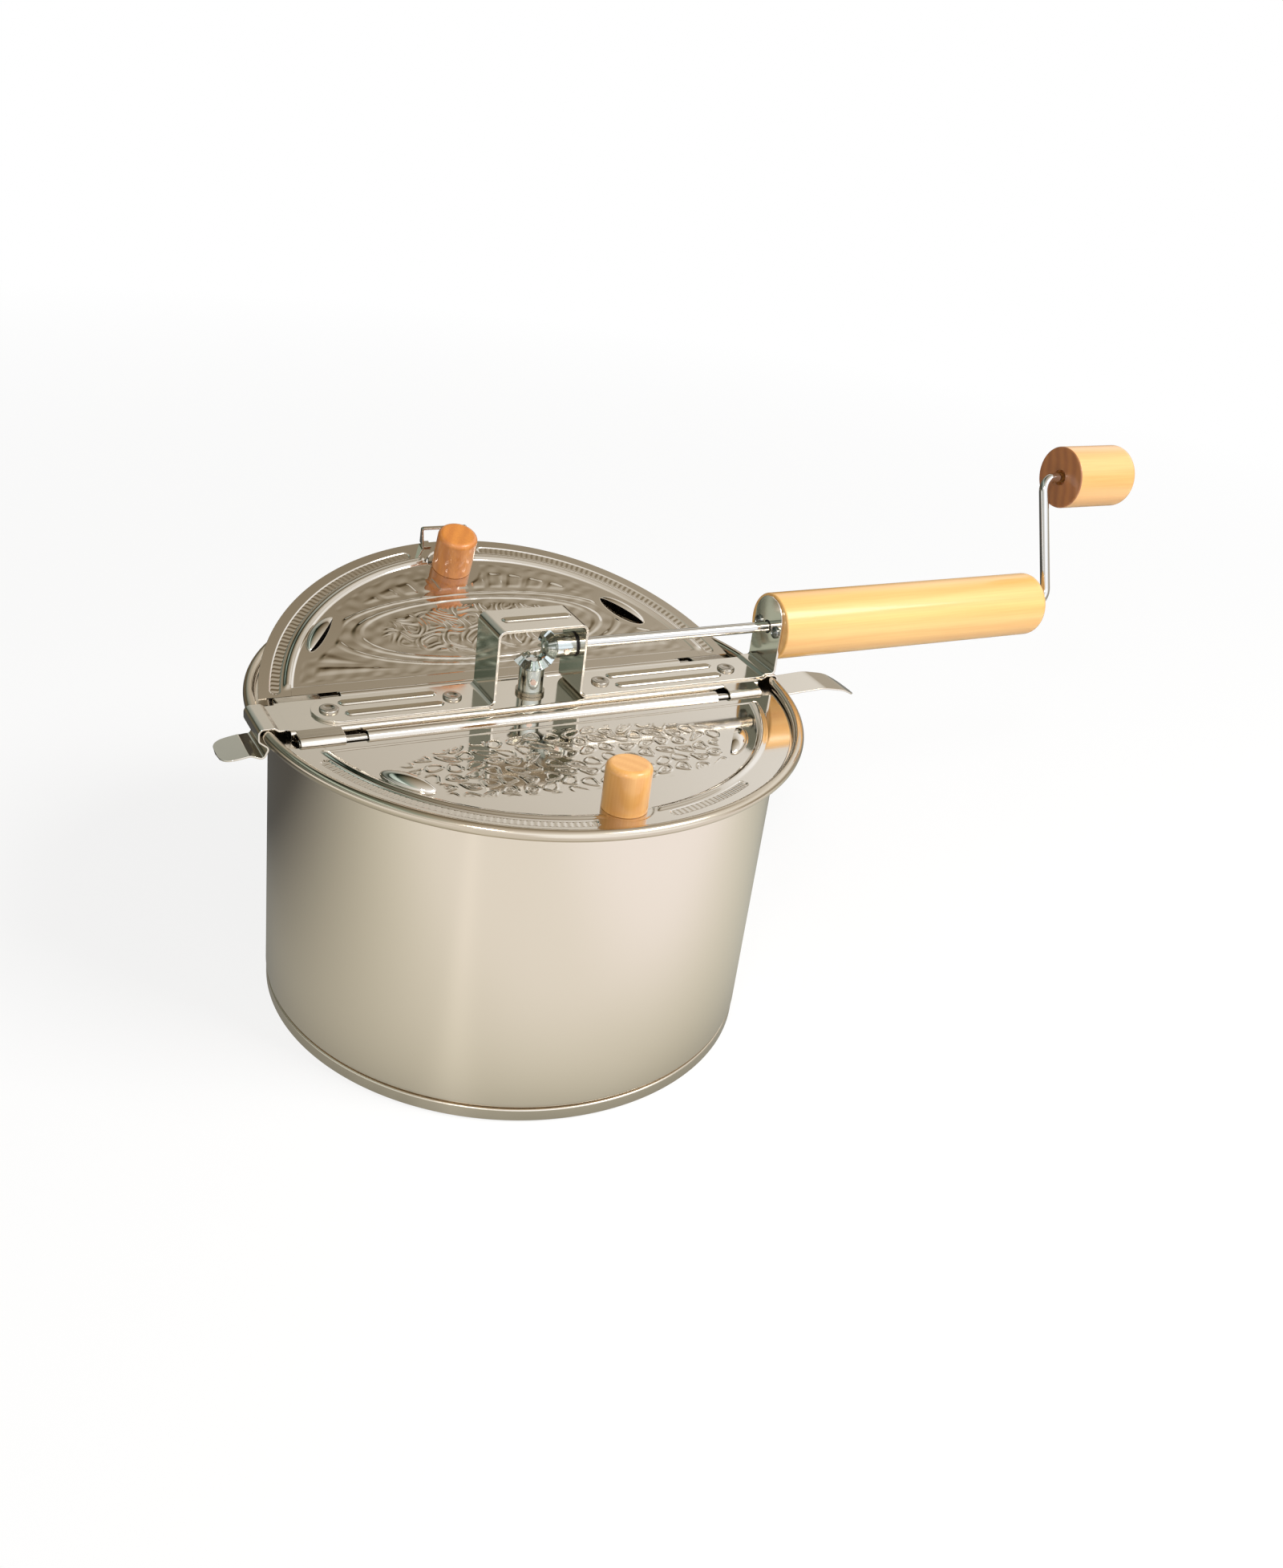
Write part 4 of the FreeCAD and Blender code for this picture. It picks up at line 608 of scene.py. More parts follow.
grip_wood = lacquered_wood("birch_lacquered_grip", "#FFCE7C", "#EFAC58", "X", (0.0, 0.02, -0.11), 26.0)
grip_profile = dowel_profile(GRIP_START, GRIP_LENGTH, GRIP_BORE)
make_piece("grip_dowel", [turned(grip_profile, "x", (0, 0, CRANK_Z), 160)], "root",
           grip_wood, ["handle_grip"])

# plated screws: a grey mirror with small marks that lie all ways, and a dimple for the driver
screw_steel = bright_steel("plated_screw_steel", "#8B8C88", 0.16, (400.0, 400.0, 400.0))
upright_face = upright_x - STRIP / 2
places, normals, along = path_along(
    [(0.0, 1.15), (0.9, 1.1), (1.3, 1.7), (2.9, 0.8), (2.9, -0.1), (0, -0.1)], [0.3, 0.2, 0.6, 0.05])
screw_profile = (places * [1, -1] + [0, upright_face], normals * [1, -1], along)
screws = [turned(screw_profile, "x", (0, y, CRANK_Z), 40) for y in (-SCREW_Y, SCREW_Y)]
make_piece("handle_screw_heads", screws, "root", screw_steel, ["handle_screws"])

# ---------------------------------------------------------------- crank
# The crank is one plated wire: it runs from the gears through arch, upright and grip, turns up as the
# arm and back out as the pin of the knob. The knob is the same birch dowel, free on the pin.

ROD = 2.5
ROD_START = 5.7
ROD_BEND = 7.0
ARM_X = 295.5
ARM = 64.0
LEAN = math.radians(21.6)       # the arm's lean to the back
ROD_END = 343.2                 # end of the knob's pin
KNOB_START = ARM_X + 11.0
KNOB_LENGTH = 40.5
# the knob's end grain is browner partly by painted shade, as its near face is turned from the light
KNOB_END_GRAIN = 0.7            # the knob's near face and its broken edge show end grain
KNOB_BORE = 2.6
KNOB_RECESS = (4.0, 4.0)        # radius and depth, then those of the push nut's counterbore
KNOB_COUNTERBORE = (5.5, 7.0)
HOLE_PLAY = 0.7

arm_way = np.array([0, math.sin(LEAN), math.cos(LEAN)])
rod_path = path_along([(ROD_START, 0), (ARM_X, 0), (ARM_X, ARM), (ROD_END, ARM)], [ROD_BEND] * 2, spacing=4.0)


def round_bar(path, radius, origin, level, rise):
    """A round section carried along a flat path: P = O + c + r (cos a n + sin a B), B across the path."""
    places, normals, _along = path
    level, rise = np.array(level, float), np.array(rise, float)
    line = np.array(origin) + places[:, :1] * level + places[:, 1:] * rise
    normal = normals[:, :1] * level + normals[:, 1:] * rise
    travel = normals[:, 1:] * level - normals[:, :1] * rise
    a = np.linspace(0, 2 * math.pi, 41)[None, :, None]
    facing = np.cos(a) * normal[:, None] + np.sin(a) * np.cross(level, rise)
    points = line[:, None] + radius * facing
    return [(points, facing)] + end_caps(points, travel, line)


# drawn wire with bright zinc plating: the sharpest mirror of the fittings, with lines along the wire
rod_steel = bright_steel("plated_wire_steel", "#CFCBC4", 0.09, (30.0, 1200.0, 1200.0))
crank_wire = round_bar(rod_path, ROD, (0, 0, CRANK_Z), X, arm_way)
make_piece("crank_wire", crank_wire, "crank", rod_steel, ["crank_rod"])

knob_wood = lacquered_wood("birch_lacquered_crank_knob", "#FBC277", "#E39C4B", "X", (0.3, -0.16, -0.20), 29.0,
                           end=(KNOB_START + KNOB_END_GRAIN) / 1000)
knob_axis = arm_way * ARM + [0, 0, CRANK_Z]
knob_profile = dowel_profile(KNOB_START, KNOB_LENGTH, KNOB_BORE, KNOB_RECESS, KNOB_COUNTERBORE)
make_piece("crank_knob_dowel", [turned(knob_profile, "x", knob_axis, 160)], "knob",
           knob_wood, ["crank_knob"])


def mottled(name, codes, scale, **values):
    """A material whose colour wanders between two close tones, in specks of about 1 / scale metres."""
    material, tree, shader, coordinates = new_material(name, **values)
    specks = add_node(tree, "ShaderNodeTexNoise", {"Vector": coordinates.outputs["Object"], "Scale": scale})
    tree.links.new(two_tones(tree, specks.outputs["Fac"], 0.3, 0.7, codes), shader.inputs["Base Color"])
    return material


# the upright's hole is wider than the rod all round, and a nearly black ring is painted over the gap as its
# shade
hole_painted_shade = mottled("painted_shade_in_rod_holes", ("#100E0C", "#1C1916"), 500.0, Roughness=0.9)
hole_ring = np.array([[ROD + 0.05, 0.0], [ROD + 0.05 + HOLE_PLAY, 0.0]])
hole_profile = (hole_ring, np.array([[0.0, -1.0]] * 2), np.array([0.0, 1.0]))
make_piece("rod_hole_painted_shade", [turned(hole_profile, "x", (upright_face - 0.02, 0, CRANK_Z), 48)], "root",
           hole_painted_shade)

# ---------------------------------------------------------------- gears
# Two die-cast zinc mitre gears of ten teeth, each pinned through its hub. A black fibre washer lies behind
# the crank gear and a steel one under the stirrer gear; the screws, shafts and bushing are dressed here too.

# Die-cast zinc: a pale, slightly green-grey metal, dull in specks of 1.5 mm that the die leaves.
zinc, tree, shader, coordinates = new_material("zinc_die_cast", Metallic=1.0, Base_Color=linear("#C2C6C0"))
skin = vary_roughness(tree, shader, coordinates.outputs["Object"], 700.0, 3.0, 0.08, 0.2, span=(0.0, 1.0))
grained = add_node(tree, "ShaderNodeBump", {"Height": skin, "Strength": 0.12, "Distance": 0.0002})
tree.links.new(grained.outputs["Normal"], shader.inputs["Normal"])

# vulcanised fibre: black and half matt, with faint brown specks
black_washer = mottled("fibre_washer_black", ("#161514", "#2A2826"), 900.0, Roughness=0.5)

# Turned and stamped fittings: fine tool marks soften the mirror. The thrust washer is darkened by wear, the
# brass is yellow, and the pins' thin copper wash is pink.
spare_steel = bright_steel("turned_steel_fittings", "#B7B2A9", 0.2, (600.0, 600.0, 600.0))
hub_aluminium = bright_steel("turned_aluminium_hub", "#B4B2AD", 0.28, (200.0, 200.0, 3000.0))
thrust_steel = bright_steel("thrust_washer_steel", "#A39A88", 0.25, (300.0, 300.0, 300.0))
brass = bright_steel("turned_brass_bushing", "#B08D4F", 0.24, (200.0, 200.0, 3000.0))
pinned = bright_steel("copper_washed_pin", "#E2C6B4", 0.3, (600.0, 600.0, 600.0))
for material, nodes in (
        (zinc, ("crank_gear", "stirrer_gear")), (black_washer, ("crank_leg_washer",)),
        (thrust_steel, ("stirrer_thrust_washer",)), (pinned, ("crank_gear_pin", "stirrer_gear_pin")),
        (rod_steel, ("stirrer_shaft", "stirrer_wire_1", "stirrer_wire_2")), (hub_aluminium, ("stirrer_hub",)),
        (brass, ("shaft_bushing",)),
        (spare_steel, ("rod_push_nut", "front_knob_screw", "back_knob_screw", "front_knob_washer",
                       "back_knob_washer"))):
    for node in nodes:
        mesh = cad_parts[node].data
        mesh.materials.clear()
        mesh.materials.append(material)

# ---------------------------------------------------------------- lids
# Each half lid is pressed from 0.6 mm bright stainless sheet: a border, a raised ridge, a sunk panel with
# a raised pattern, a bay for the knob, two louvres, and a straight edge rolled round the hinge pin.

LID_RADIUS = 118.0
LID_SHEET = 0.6
LID_TOP = 147.25
RIM_ROUND = 0.15                # how far the rim's cut edge is rounded
EDGE_Y = 22.5                   # straight edge from the middle plane
BAND_Y = 27.0                   # panel's straight side
PANEL_RADIUS = 104.1
PANEL_DEPTH = 0.5
PANEL_TOP = LID_TOP - PANEL_DEPTH
SHIFT = -2.2                    # knob bay, louvres and strap sit this far off the middle
BAY = (SHIFT, -99.6, 12.4)      # the knob's bay: middle and radius
RIDGE = 105.75
RIDGE_HALF = 2.2
RIDGE_RISE = 0.6
AJAR = math.radians(19.0)
UNDER_RING = 100.5              # underside: finer outside this radius, where it follows the ridge
LOUVRE_REACH = 96.4
LOUVRE_ANGLE = math.radians(38.0)
LOUVRE_HALF = 13.0              # half length of a louvre, its depth and its rise
LOUVRE_DEPTH = 5.2
LOUVRE_RISE = 3.55
LOUVRE_FULL = 0.55              # power of a louvre's outline: 0.5 is an ellipse
LID_BARREL = (-81.5, 86.5)
ROLL_START = 32                 # degrees round the pin at which the sheet joins its roll


def cell_lines(x, y, pitch, wobble, seed, jitter=0.56):
    """Distance to the nearest of a jittered square net's points, how much farther the second is, the way
    from the nearest, and a number of 0 to 6.28 that is its own."""
    x = x + wobble * np.sin(0.31 * y + seed)
    y = y + wobble * np.sin(0.27 * x + 2 * seed)
    column, row = np.floor(x / pitch), np.floor(y / pitch)
    near = np.full(np.broadcast(x, y).shape, 99.0)
    second, away_x, away_y, key = near.copy(), 0 * near, 0 * near, 0 * near
    for i in (-1, 0, 1):
        for j in (-1, 0, 1):
            c, r = column + i, row + j
            a = np.sin(c * 127.1 + r * 311.7 + seed) * 43758.5453
            b = np.sin(c * 269.5 + r * 183.3 + seed) * 28001.8384
            px = (c + 0.5 + jitter * (a - np.floor(a) - 0.5)) * pitch
            py = (r + 0.5 + jitter * (b - np.floor(b) - 0.5)) * pitch
            distance = np.hypot(x - px, y - py)
            second = np.minimum(second, np.maximum(near, distance))
            closer = distance < near
            away_x, away_y = np.where(closer, x - px, away_x), np.where(closer, y - py, away_y)
            key = np.where(closer, 6.28 * (a - np.floor(a)), key)
            near = np.minimum(near, distance)
    return near, second - near, away_x, away_y, key


def front_pattern(x, y):
    """Raised pattern of the front panel, over a broad lens field. In every cell of a net stretched along X
    lies a wobbly closed ridge, r (1 + 0.12 sin(2 a + k) + 0.09 sin(3 a + 2 k)) = 2.8 round the cell's point,
    and in about half of them a lower one inside it, = 0.8."""
    wide = x / 1.1
    near, border, dx, dy, key = cell_lines(wide, y, 8.0, 1.6, 1.0, 0.2)
    turn = np.arctan2(dy, dx)
    reach = near * (1 + 0.12 * np.sin(2 * turn + key) + 0.09 * np.sin(3 * turn + 2 * key))
    field = smooth((1 - np.hypot((x + 2) / 84, (y + 57) / 27)) / 0.1)
    loop = np.exp(-((reach - 2.8) / 0.5) ** 2) * smooth(border / 0.5)
    inner = 0.6 * np.exp(-((reach - 0.8) / 0.5) ** 2) * (np.sin(7 * key) > 0)
    return 0.24 * field * (loop + inner)


def back_pattern(x, y):
    """Raised pattern of the back panel: a plain oval with a double rim and fluted rays round it, all on a
    rippled ground."""
    oval = np.hypot((x + 2) / 60, (y + 56) / 20)
    gap = (oval - 1) * 28
    rim = smooth(1.25 - np.abs(gap) / 1.3) + 0.7 * smooth(1.2 - np.abs(gap - 5.0) / 1.1)
    turn = np.arctan2(y + 28, x + 2)
    rays = np.abs(np.sin(turn * 21))
    fan = smooth((gap - 9) / 3) * smooth((PANEL_RADIUS - 9 - np.hypot(x, y)) / 3) * smooth((-y - 33) / 3)
    border = cell_lines(x, y, 11.0, 2.2, 4.0)[1]
    leaf = np.exp(-((border / 2 - 1.3) / 0.7) ** 2) + 0.6 * np.exp(-((border / 2 - 3.2) / 0.6) ** 2)
    inside_oval = smooth((-gap - 4.5) / 3)
    ripple = np.sin(0.83 * x + 0.31 * y + 1.7 * np.sin(0.21 * y))
    ripple += np.sin(0.62 * y - 0.45 * x + 2.1 * np.sin(0.17 * x))
    ripple += np.sin(0.94 * y + 0.2 * x + 1.3 * np.sin(0.25 * x + 0.1 * y))
    return (0.34 * rim * smooth((-y - 28) / 3) + 0.26 * fan * smooth((rays - 0.25) / 0.6)
            + 0.22 * inside_oval * leaf + 0.03 * ripple)


def arc_slot(x, y, start, end, reach):
    """Slot pressed in the border along an arc, its floor fluted across like a coin's edge."""
    radius = np.hypot(x, y)
    turn = np.degrees(np.arctan2(-y, -x))
    beyond = np.maximum(np.maximum(start - turn, turn - end), 0) * math.radians(1) * radius
    q = np.hypot(beyond, radius - reach)
    flutes = np.cos((turn - start) * math.radians(1) * reach * 2 * math.pi / 2.6)
    return smooth((2.5 - q) / 0.55) * (-0.36 + 0.07 * flutes * smooth((2.0 - q) / 0.5))


def lid_height(x, y, slots=(), pattern=None):
    """Height of a lid's top over the flat border: sunk panel and bay, ridge, slots and pattern added."""
    radius = np.hypot(x, y)
    bay = BAY[2] - np.hypot(x - BAY[0], y - BAY[1])
    inside_panel = np.maximum(np.minimum(PANEL_RADIUS - radius, -BAND_Y - y), bay)
    height = -PANEL_DEPTH * smooth(inside_panel / 1.1)
    q = np.clip(np.abs(radius - RIDGE) / RIDGE_HALF, 0, 1)
    along_ridge = smooth((-BAND_Y + 1.0 - y) / 3.5) * smooth((-bay - 0.4) / 2.0)
    height = height + RIDGE_RISE * (0.5 + 0.5 * np.cos(math.pi * q)) * along_ridge
    for start, end, reach in slots:
        height = height + arc_slot(x, y, start, end, reach)
    if pattern is None:
        return height
    raised = smooth((PANEL_RADIUS - 3.0 - radius) / 2.0)
    raised = raised * smooth((-BAND_Y - 2.0 - y) / 2.0) * smooth((-bay - 1.0) / 2.0)
    for side in (-1, 1):
        p, q = louvre_place(x, y, side)
        raised = raised * smooth((np.hypot(p / 17.0, (q - 1.0) / 8.0) - 1.0) / 0.25)
    return height + raised * pattern(x, y)


def louvre_out(side):
    """The way outward in plan at the left (-1) or the right (1) louvre."""
    return side * math.cos(LOUVRE_ANGLE), -math.sin(LOUVRE_ANGLE)


def louvre_place(x, y, side):
    """Coordinates along and across (outward) a louvre, from its middle."""
    ox, oy = louvre_out(side)
    along_x, along_y = x - LOUVRE_REACH * ox - SHIFT, y - LOUVRE_REACH * oy
    return along_y * ox - along_x * oy, along_x * ox + along_y * oy


def louvre_point(p, q, z, side):
    """The place of along p, across q and height z at a louvre."""
    ox, oy = louvre_out(side)
    return np.stack([LOUVRE_REACH * ox + SHIFT - p * oy + q * ox, LOUVRE_REACH * oy + p * ox + q * oy, z], -1)


def lid_surface(x, y, height, drop=0.0, down=False):
    """Points and normals of a height field, drop below it: the normal is (-dh/dx, -dh/dy, 1), and is turned
    over on the underside."""
    step = 0.02
    rise = height(x, y)
    by_x = (height(x + step, y) - height(x - step, y)) / (2 * step)
    by_y = (height(x, y + step) - height(x, y - step)) / (2 * step)
    points = np.stack([x, y, LID_TOP + rise - drop], -1)
    facing = np.stack([-by_x, -by_y, np.ones(x.shape)], -1)
    return points, -facing if down else facing


def ring_grid(inner, outer, straight, columns, rows):
    """Grid over a ring's part below y = -straight: radius even, each ring's ends on the straight line."""
    radius = np.linspace(inner, outer, rows + 1)[:, None]
    first = np.arcsin(straight / radius)
    turn = first + (math.pi - 2 * first) * np.linspace(0, 1, columns + 1)[None, :]
    return -radius * np.cos(turn), -radius * np.sin(turn)


def segment_grid(radius, near, far, columns, rows):
    """Grid over a disc between y = -near and y = -far, each row as wide as the disc there; far None runs
    every column to the rim."""
    share = np.linspace(0, 1, rows + 1)[:, None]
    across = np.linspace(-1, 1, columns + 1)[None, :]
    if far is None:
        x = across * math.sqrt(radius ** 2 - near ** 2)
        y = -near - share * (np.sqrt(np.maximum(radius ** 2 - x ** 2, near ** 2)) - near)
        return np.broadcast_to(x, y.shape).copy(), y
    y = -near - share * (far - near)
    x = across * np.sqrt(radius ** 2 - y ** 2)
    return x, np.broadcast_to(y, x.shape).copy()


def rim_patch():
    """The sheet's cut edge at the rim, half an ellipse from its underside to its top: out by
    0.15 (cos a - 1), up by 0.3 sin a."""
    a = np.radians(np.linspace(-90, 90, 9))[:, None]
    x, y = (grid[1:] for grid in ring_grid(LID_RADIUS - RIM_ROUND, LID_RADIUS, EDGE_Y, 300, 1))
    outward = np.stack([x / LID_RADIUS, y / LID_RADIUS, 0 * x], -1)
    half = LID_SHEET / 2
    out = RIM_ROUND * (np.cos(a) - 1)
    z = LID_TOP - half + half * np.sin(a) + 0 * x
    points = np.stack([x + out * x / LID_RADIUS, y + out * y / LID_RADIUS, z], -1)
    return points, outward * np.cos(a)[..., None] + [0, 0, 1] * np.sin(a)[..., None]


def straight_side():
    """The sheet's cut edge along the straight side, flat from top to underside."""
    reach = math.sqrt(LID_RADIUS ** 2 - EDGE_Y ** 2)
    x, down = np.meshgrid([-reach, 0.0, reach], [0.0, LID_SHEET])
    points = np.stack([x, np.full(x.shape, -EDGE_Y), LID_TOP - down], -1)
    return points, np.broadcast_to([0.0, 1.0, 0.0], points.shape)


def hinge_roll():
    """The straight edge rolled round the hinge pin, from under the sheet out and round to its start."""
    radius = BARREL - LID_SHEET / 2
    sheet_z = LID_TOP - LID_SHEET / 2
    start = math.radians(ROLL_START)
    foot = (HINGE_Y + radius * math.cos(start), HINGE_Z + radius * math.sin(start))
    roll = rolled_edge([(EDGE_Y, sheet_z), (HINGE_Y + radius - 0.02, sheet_z), foot], 0.4, radius,
                       ROLL_START, ROLL_START + 320)
    return mirrored_y(extruded(roll, LID_SHEET, *LID_BARREL))


def lid_patches(slots, pattern):
    """Border, underside, rim and hinge roll of a lid, and apart from them the panel's skin."""
    def shape(x, y):
        return lid_height(x, y, slots, pattern)

    border = [lid_surface(*grid, shape) for grid in (
        ring_grid(PANEL_RADIUS - 0.1, LID_RADIUS - RIM_ROUND, EDGE_Y, 460, 54),
        segment_grid(PANEL_RADIUS, EDGE_Y, BAND_Y, 300, 10))]
    under = [lid_surface(*grid, lid_height, LID_SHEET, down=True) for grid in (
        ring_grid(UNDER_RING, LID_RADIUS - RIM_ROUND, EDGE_Y, 300, 40),
        segment_grid(UNDER_RING, EDGE_Y, BAND_Y + 2.0, 150, 15),
        segment_grid(UNDER_RING, BAND_Y + 2.0, None, 120, 50))]
    skin = lid_surface(*segment_grid(PANEL_RADIUS, BAND_Y - 0.02, None, 460, 184), shape)
    return border + under + [rim_patch(), straight_side()] + hinge_roll(), skin


def louvre_patches(side):
    """A louvre: at the share t of its half length p = 13 t it swells by s = (1 - t2) ** 0.55. Across, it goes
    from a foot outside over the crest to the mouth: q = 5.2 s cos a, z = panel + 3.55 s (sin a) ** 1.15."""
    share = np.sin(np.linspace(-90, 90, 81) * math.pi / 180)[None, :]
    swell = np.maximum(1 - share ** 2, 1e-4) ** LOUVRE_FULL
    a = np.radians(np.linspace(0, 108, 30))[:, None]
    q = LOUVRE_DEPTH * swell * np.cos(a)
    z = PANEL_TOP + 0.02 + LOUVRE_RISE * swell * np.sin(a) ** 1.15
    p, q, z = np.broadcast_arrays(share * LOUVRE_HALF, q, z)
    points = louvre_point(p, q, z, side)
    facing = np.cross(np.gradient(points, axis=1), np.gradient(points, axis=0))
    facing = facing * np.sign(facing[..., 2:] + 1e-12)
    facing[:, [0, -1]] = facing[:, [1, -2]]
    facing = facing / np.maximum(np.linalg.norm(facing, axis=-1, keepdims=True), 1e-12)
    inside = points - 0.45 * facing
    ox, oy = louvre_out(side)
    lip = (np.stack([points[-1], inside[-1]]), np.broadcast_to([-ox, -oy, 0.0], (2,) + points[-1].shape))
    return [(points, facing), (inside, -facing), lip]


def louvre_gap(side):
    """A sheet of painted shade on the floor of a louvre's mouth, 0.04 mm over the panel: q from -1.62 s to 4
    s, s as for the louvre.
    """
    share = np.linspace(-0.97, 0.97, 61)[None, :]
    q = np.array([-1.62, 4.0])[:, None] * (1 - share ** 2) ** LOUVRE_FULL
    p, q = np.broadcast_arrays(share * LOUVRE_HALF, q)
    points = louvre_point(p, q, np.full(p.shape, PANEL_TOP + 0.04), side)
    return points, np.broadcast_to([0.0, 0.0, 1.0], points.shape)


def lid_stand(mirror, angle):
    """Takes a lid modelled shut at the front to its side and opens it round its hinge."""
    def placed(points, normals):
        if mirror:
            points, normals = points * [1, -1, 1], normals * [1, -1, 1]
        c, s = math.cos(angle), math.sin(angle)
        turn = np.array([[1, 0, 0], [0, c, -s], [0, s, c]])
        pivot = np.array([0, HINGE_Y, HINGE_Z])
        return (points - pivot) @ turn.T + pivot, normals @ turn.T
    return placed


# the brightest sheet of the popper: lights stay sharp in it, and the pressed pattern breaks them up
lid_steel = bright_steel("stainless_steel_bright_pressed", "#DAD2C6", 0.06, (30.0, 1500.0, 1500.0))
# no light reaches the sheet in a louvre's mouth, so a dark slit is painted there as its shade
mouth_painted_shade = mottled("louvre_mouth_painted_shade", ("#3A3632", "#5C554E"), 400.0,
                     Metallic=1.0, Roughness=0.28)

LIDS = (("front", lid_stand(False, 0.0), [(19.5, 79.5, 110.7), (98.4, 120.0, 110.7)], front_pattern),
        ("back", lid_stand(True, AJAR), [(14.0, 78.0, 110.9), (99.0, 166.0, 110.9)], back_pattern))
louvres = louvre_patches(-1) + louvre_patches(1)
for side_name, stand, slots, pattern in LIDS:
    border, skin = lid_patches(slots, pattern)
    make_piece(side_name + "_lid_border", border, side_name, lid_steel,
               [side_name + "_lid"], placed=stand)
    for ending, patches, material in (("_panel", [skin], lid_steel), ("_louvres", louvres, lid_steel),
                                      ("_louvre_mouth_shade", [louvre_gap(-1), louvre_gap(1)], mouth_painted_shade)):
        make_piece(side_name + "_lid" + ending, patches, side_name, material,
                   placed=stand)

# ---------------------------------------------------------------- lid knobs
# Each lid knob is a short birch dowel with a rounded top, lacquered, screwed from below into the panel's
# bay. The back one is given deeper, redder tones.

KNOB_RADIUS = 9.525
KNOB_TOP = PANEL_TOP + 20.0
KNOB_ROUND = 2.5                # round of the top edge, then of the lower one
KNOB_ROUND_FOOT = 0.35
lid_knob_profile = path_along(
    [(0, KNOB_TOP), (KNOB_RADIUS, KNOB_TOP), (KNOB_RADIUS, PANEL_TOP), (0, PANEL_TOP)],
    [KNOB_ROUND, KNOB_ROUND_FOOT])
KNOB_WOODS = {
    "front": lacquered_wood(
        "birch_lacquered_front_knob", "#FFC573", "#E69C46", "Z", (0.035, 0.12, 0.0), 31.0),
    "back": lacquered_wood(
        "birch_lacquered_back_knob", "#E8953A", "#B9641F", "Z", (0.03, -0.115, 0.0), 35.0),
}
for side_name, stand, _slots, _pattern in LIDS:
    make_piece(side_name + "_knob_dowel", [turned(lid_knob_profile, "z", (BAY[0], BAY[1], 0), 96)], side_name,
               KNOB_WOODS[side_name], [side_name + "_lid_knob"], placed=stand)

# ---------------------------------------------------------------- strap
# A thin steel strap, bent like a staple and welded to the back lid's border behind the knob. Its legs
# narrow towards the top.

STRAP = 0.8
STRAP_RISE = 10.2
STRAP_Y = -115.6
STRAP_HALF = 2.4                # half width at the feet, and what is gone of it at the top
STRAP_TAPER = 1.45
strap_z = LID_TOP + STRAP / 2
strap_path = path_along(
    [(-6.0, strap_z), (-10.0, strap_z), (-11.5, strap_z + STRAP_RISE), (11.5, strap_z + STRAP_RISE),
     (10.0, strap_z), (6.0, strap_z)], [0.8] * 4, spacing=0.5)
up_share = np.clip((strap_path[0][:, 1] - strap_z) / STRAP_RISE, 0, 1)
strap = sheet_along(strap_path, STRAP, STRAP_HALF - STRAP_TAPER * up_share, X, Y, edge=0.15)
strap = [(points + [SHIFT, STRAP_Y, 0], facing) for points, facing in strap]
make_piece("back_lid_staple", strap, "back", sheet_steel, ["back_lid_strap"],
           placed=lid_stand(True, AJAR))

# ---------------------------------------------------------------- room
# A plain pale floor and backdrop, soft lamps, and cards that only the steel sees, so that bright metal
# shows light and dark as it does between white walls.

ROOM_RADIUS = 2.6               # sizes of the room are in metres
ROOM_HEIGHT = 2.4
BAND_RADIUS = 0.95
BAND_HEIGHT = 0.34
TABLE_HALF = 0.9
POT_FOOT = 0.113


def staged_mesh(name, points, faces, material, tones=None):
    """A card or wall of the room, staged so that it is no part of the object. Tones are a card's brightness,
    and only what shines sees a card that has them."""
    mesh = bpy.data.meshes.new(name)
    mesh.from_pydata(np.asarray(points, float).tolist(), [], faces)
    mesh.materials.append(material)
    card = bpy.data.objects.new(name, mesh)
    bpy.context.scene.collection.objects.link(card)
    if tones is not None:
        layer = mesh.color_attributes.new("tone", "FLOAT_COLOR", "POINT")
        with_alpha = np.concatenate([tones, np.ones((len(tones), 1))], 1)
        layer.data.foreach_set("color", with_alpha.astype(np.float32).ravel())
        card.visible_camera = False
        card.visible_diffuse = False
        card.visible_shadow = False
        card.visible_transmission = False


def grid_faces(rows, columns):
    """Quads over a grid of points."""
    index = np.arange(rows * columns).reshape(rows, columns)
    corners = (index[:-1, :-1], index[:-1, 1:], index[1:, 1:], index[1:, :-1])
    return np.stack(corners, -1).reshape(-1, 4).tolist()


def glow(name):
    """An even glow in the brightness that the mesh carries."""
    material = bpy.data.materials.new(name)
    material.use_nodes = True
    tree = material.node_tree
    tree.nodes.clear()
    tone = add_node(tree, "ShaderNodeAttribute", attribute_name="tone")
    shine = add_node(tree, "ShaderNodeEmission", {"Color": tone.outputs["Color"], "Strength": 1.0})
    add_node(tree, "ShaderNodeOutputMaterial", {"Surface": shine.outputs[0]})
    return material


def seen_directly(tree):
    """The light path's node, and a socket that is 1 for what the camera or a shiny surface looks at."""
    rays = add_node(tree, "ShaderNodeLightPath")
    either = add_node(tree, "ShaderNodeMath", {
        0: rays.outputs["Is Camera Ray"], 1: rays.outputs["Is Glossy Ray"]}, operation="MAXIMUM")
    return rays, either.outputs[0]


# White paper: an even white that keeps the pot's soft shadow. It turns as white as the backdrop between
# 0.45 and 1.5 m from the pot, so that no horizon shows.
paper = bpy.data.materials.new("white_paper_floor")
paper.use_nodes = True
tree = paper.node_tree
tree.nodes.clear()
rays, looked_at = seen_directly(tree)
place = add_node(tree, "ShaderNodeTexCoord")
away = add_node(tree, "ShaderNodeVectorMath", {0: place.outputs["Object"]}, operation="LENGTH")
share = add_node(tree, "ShaderNodeMapRange", {
    "Value": away.outputs["Value"], "From Min": 0.45, "From Max": 1.5, "To Min": 0.8, "To Max": 1.0})
seen = add_node(tree, "ShaderNodeMath", {0: looked_at, 1: share.outputs["Result"]}, operation="MULTIPLY")
matt = add_node(tree, "ShaderNodeBsdfDiffuse", {"Color": linear("#FAFAF9")})
white = add_node(tree, "ShaderNodeEmission", {"Color": (1, 1, 1, 1), "Strength": 1.0})
mix = add_node(tree, "ShaderNodeMixShader", {
    "Fac": seen.outputs[0], 1: matt.outputs[0], 2: white.outputs[0]})
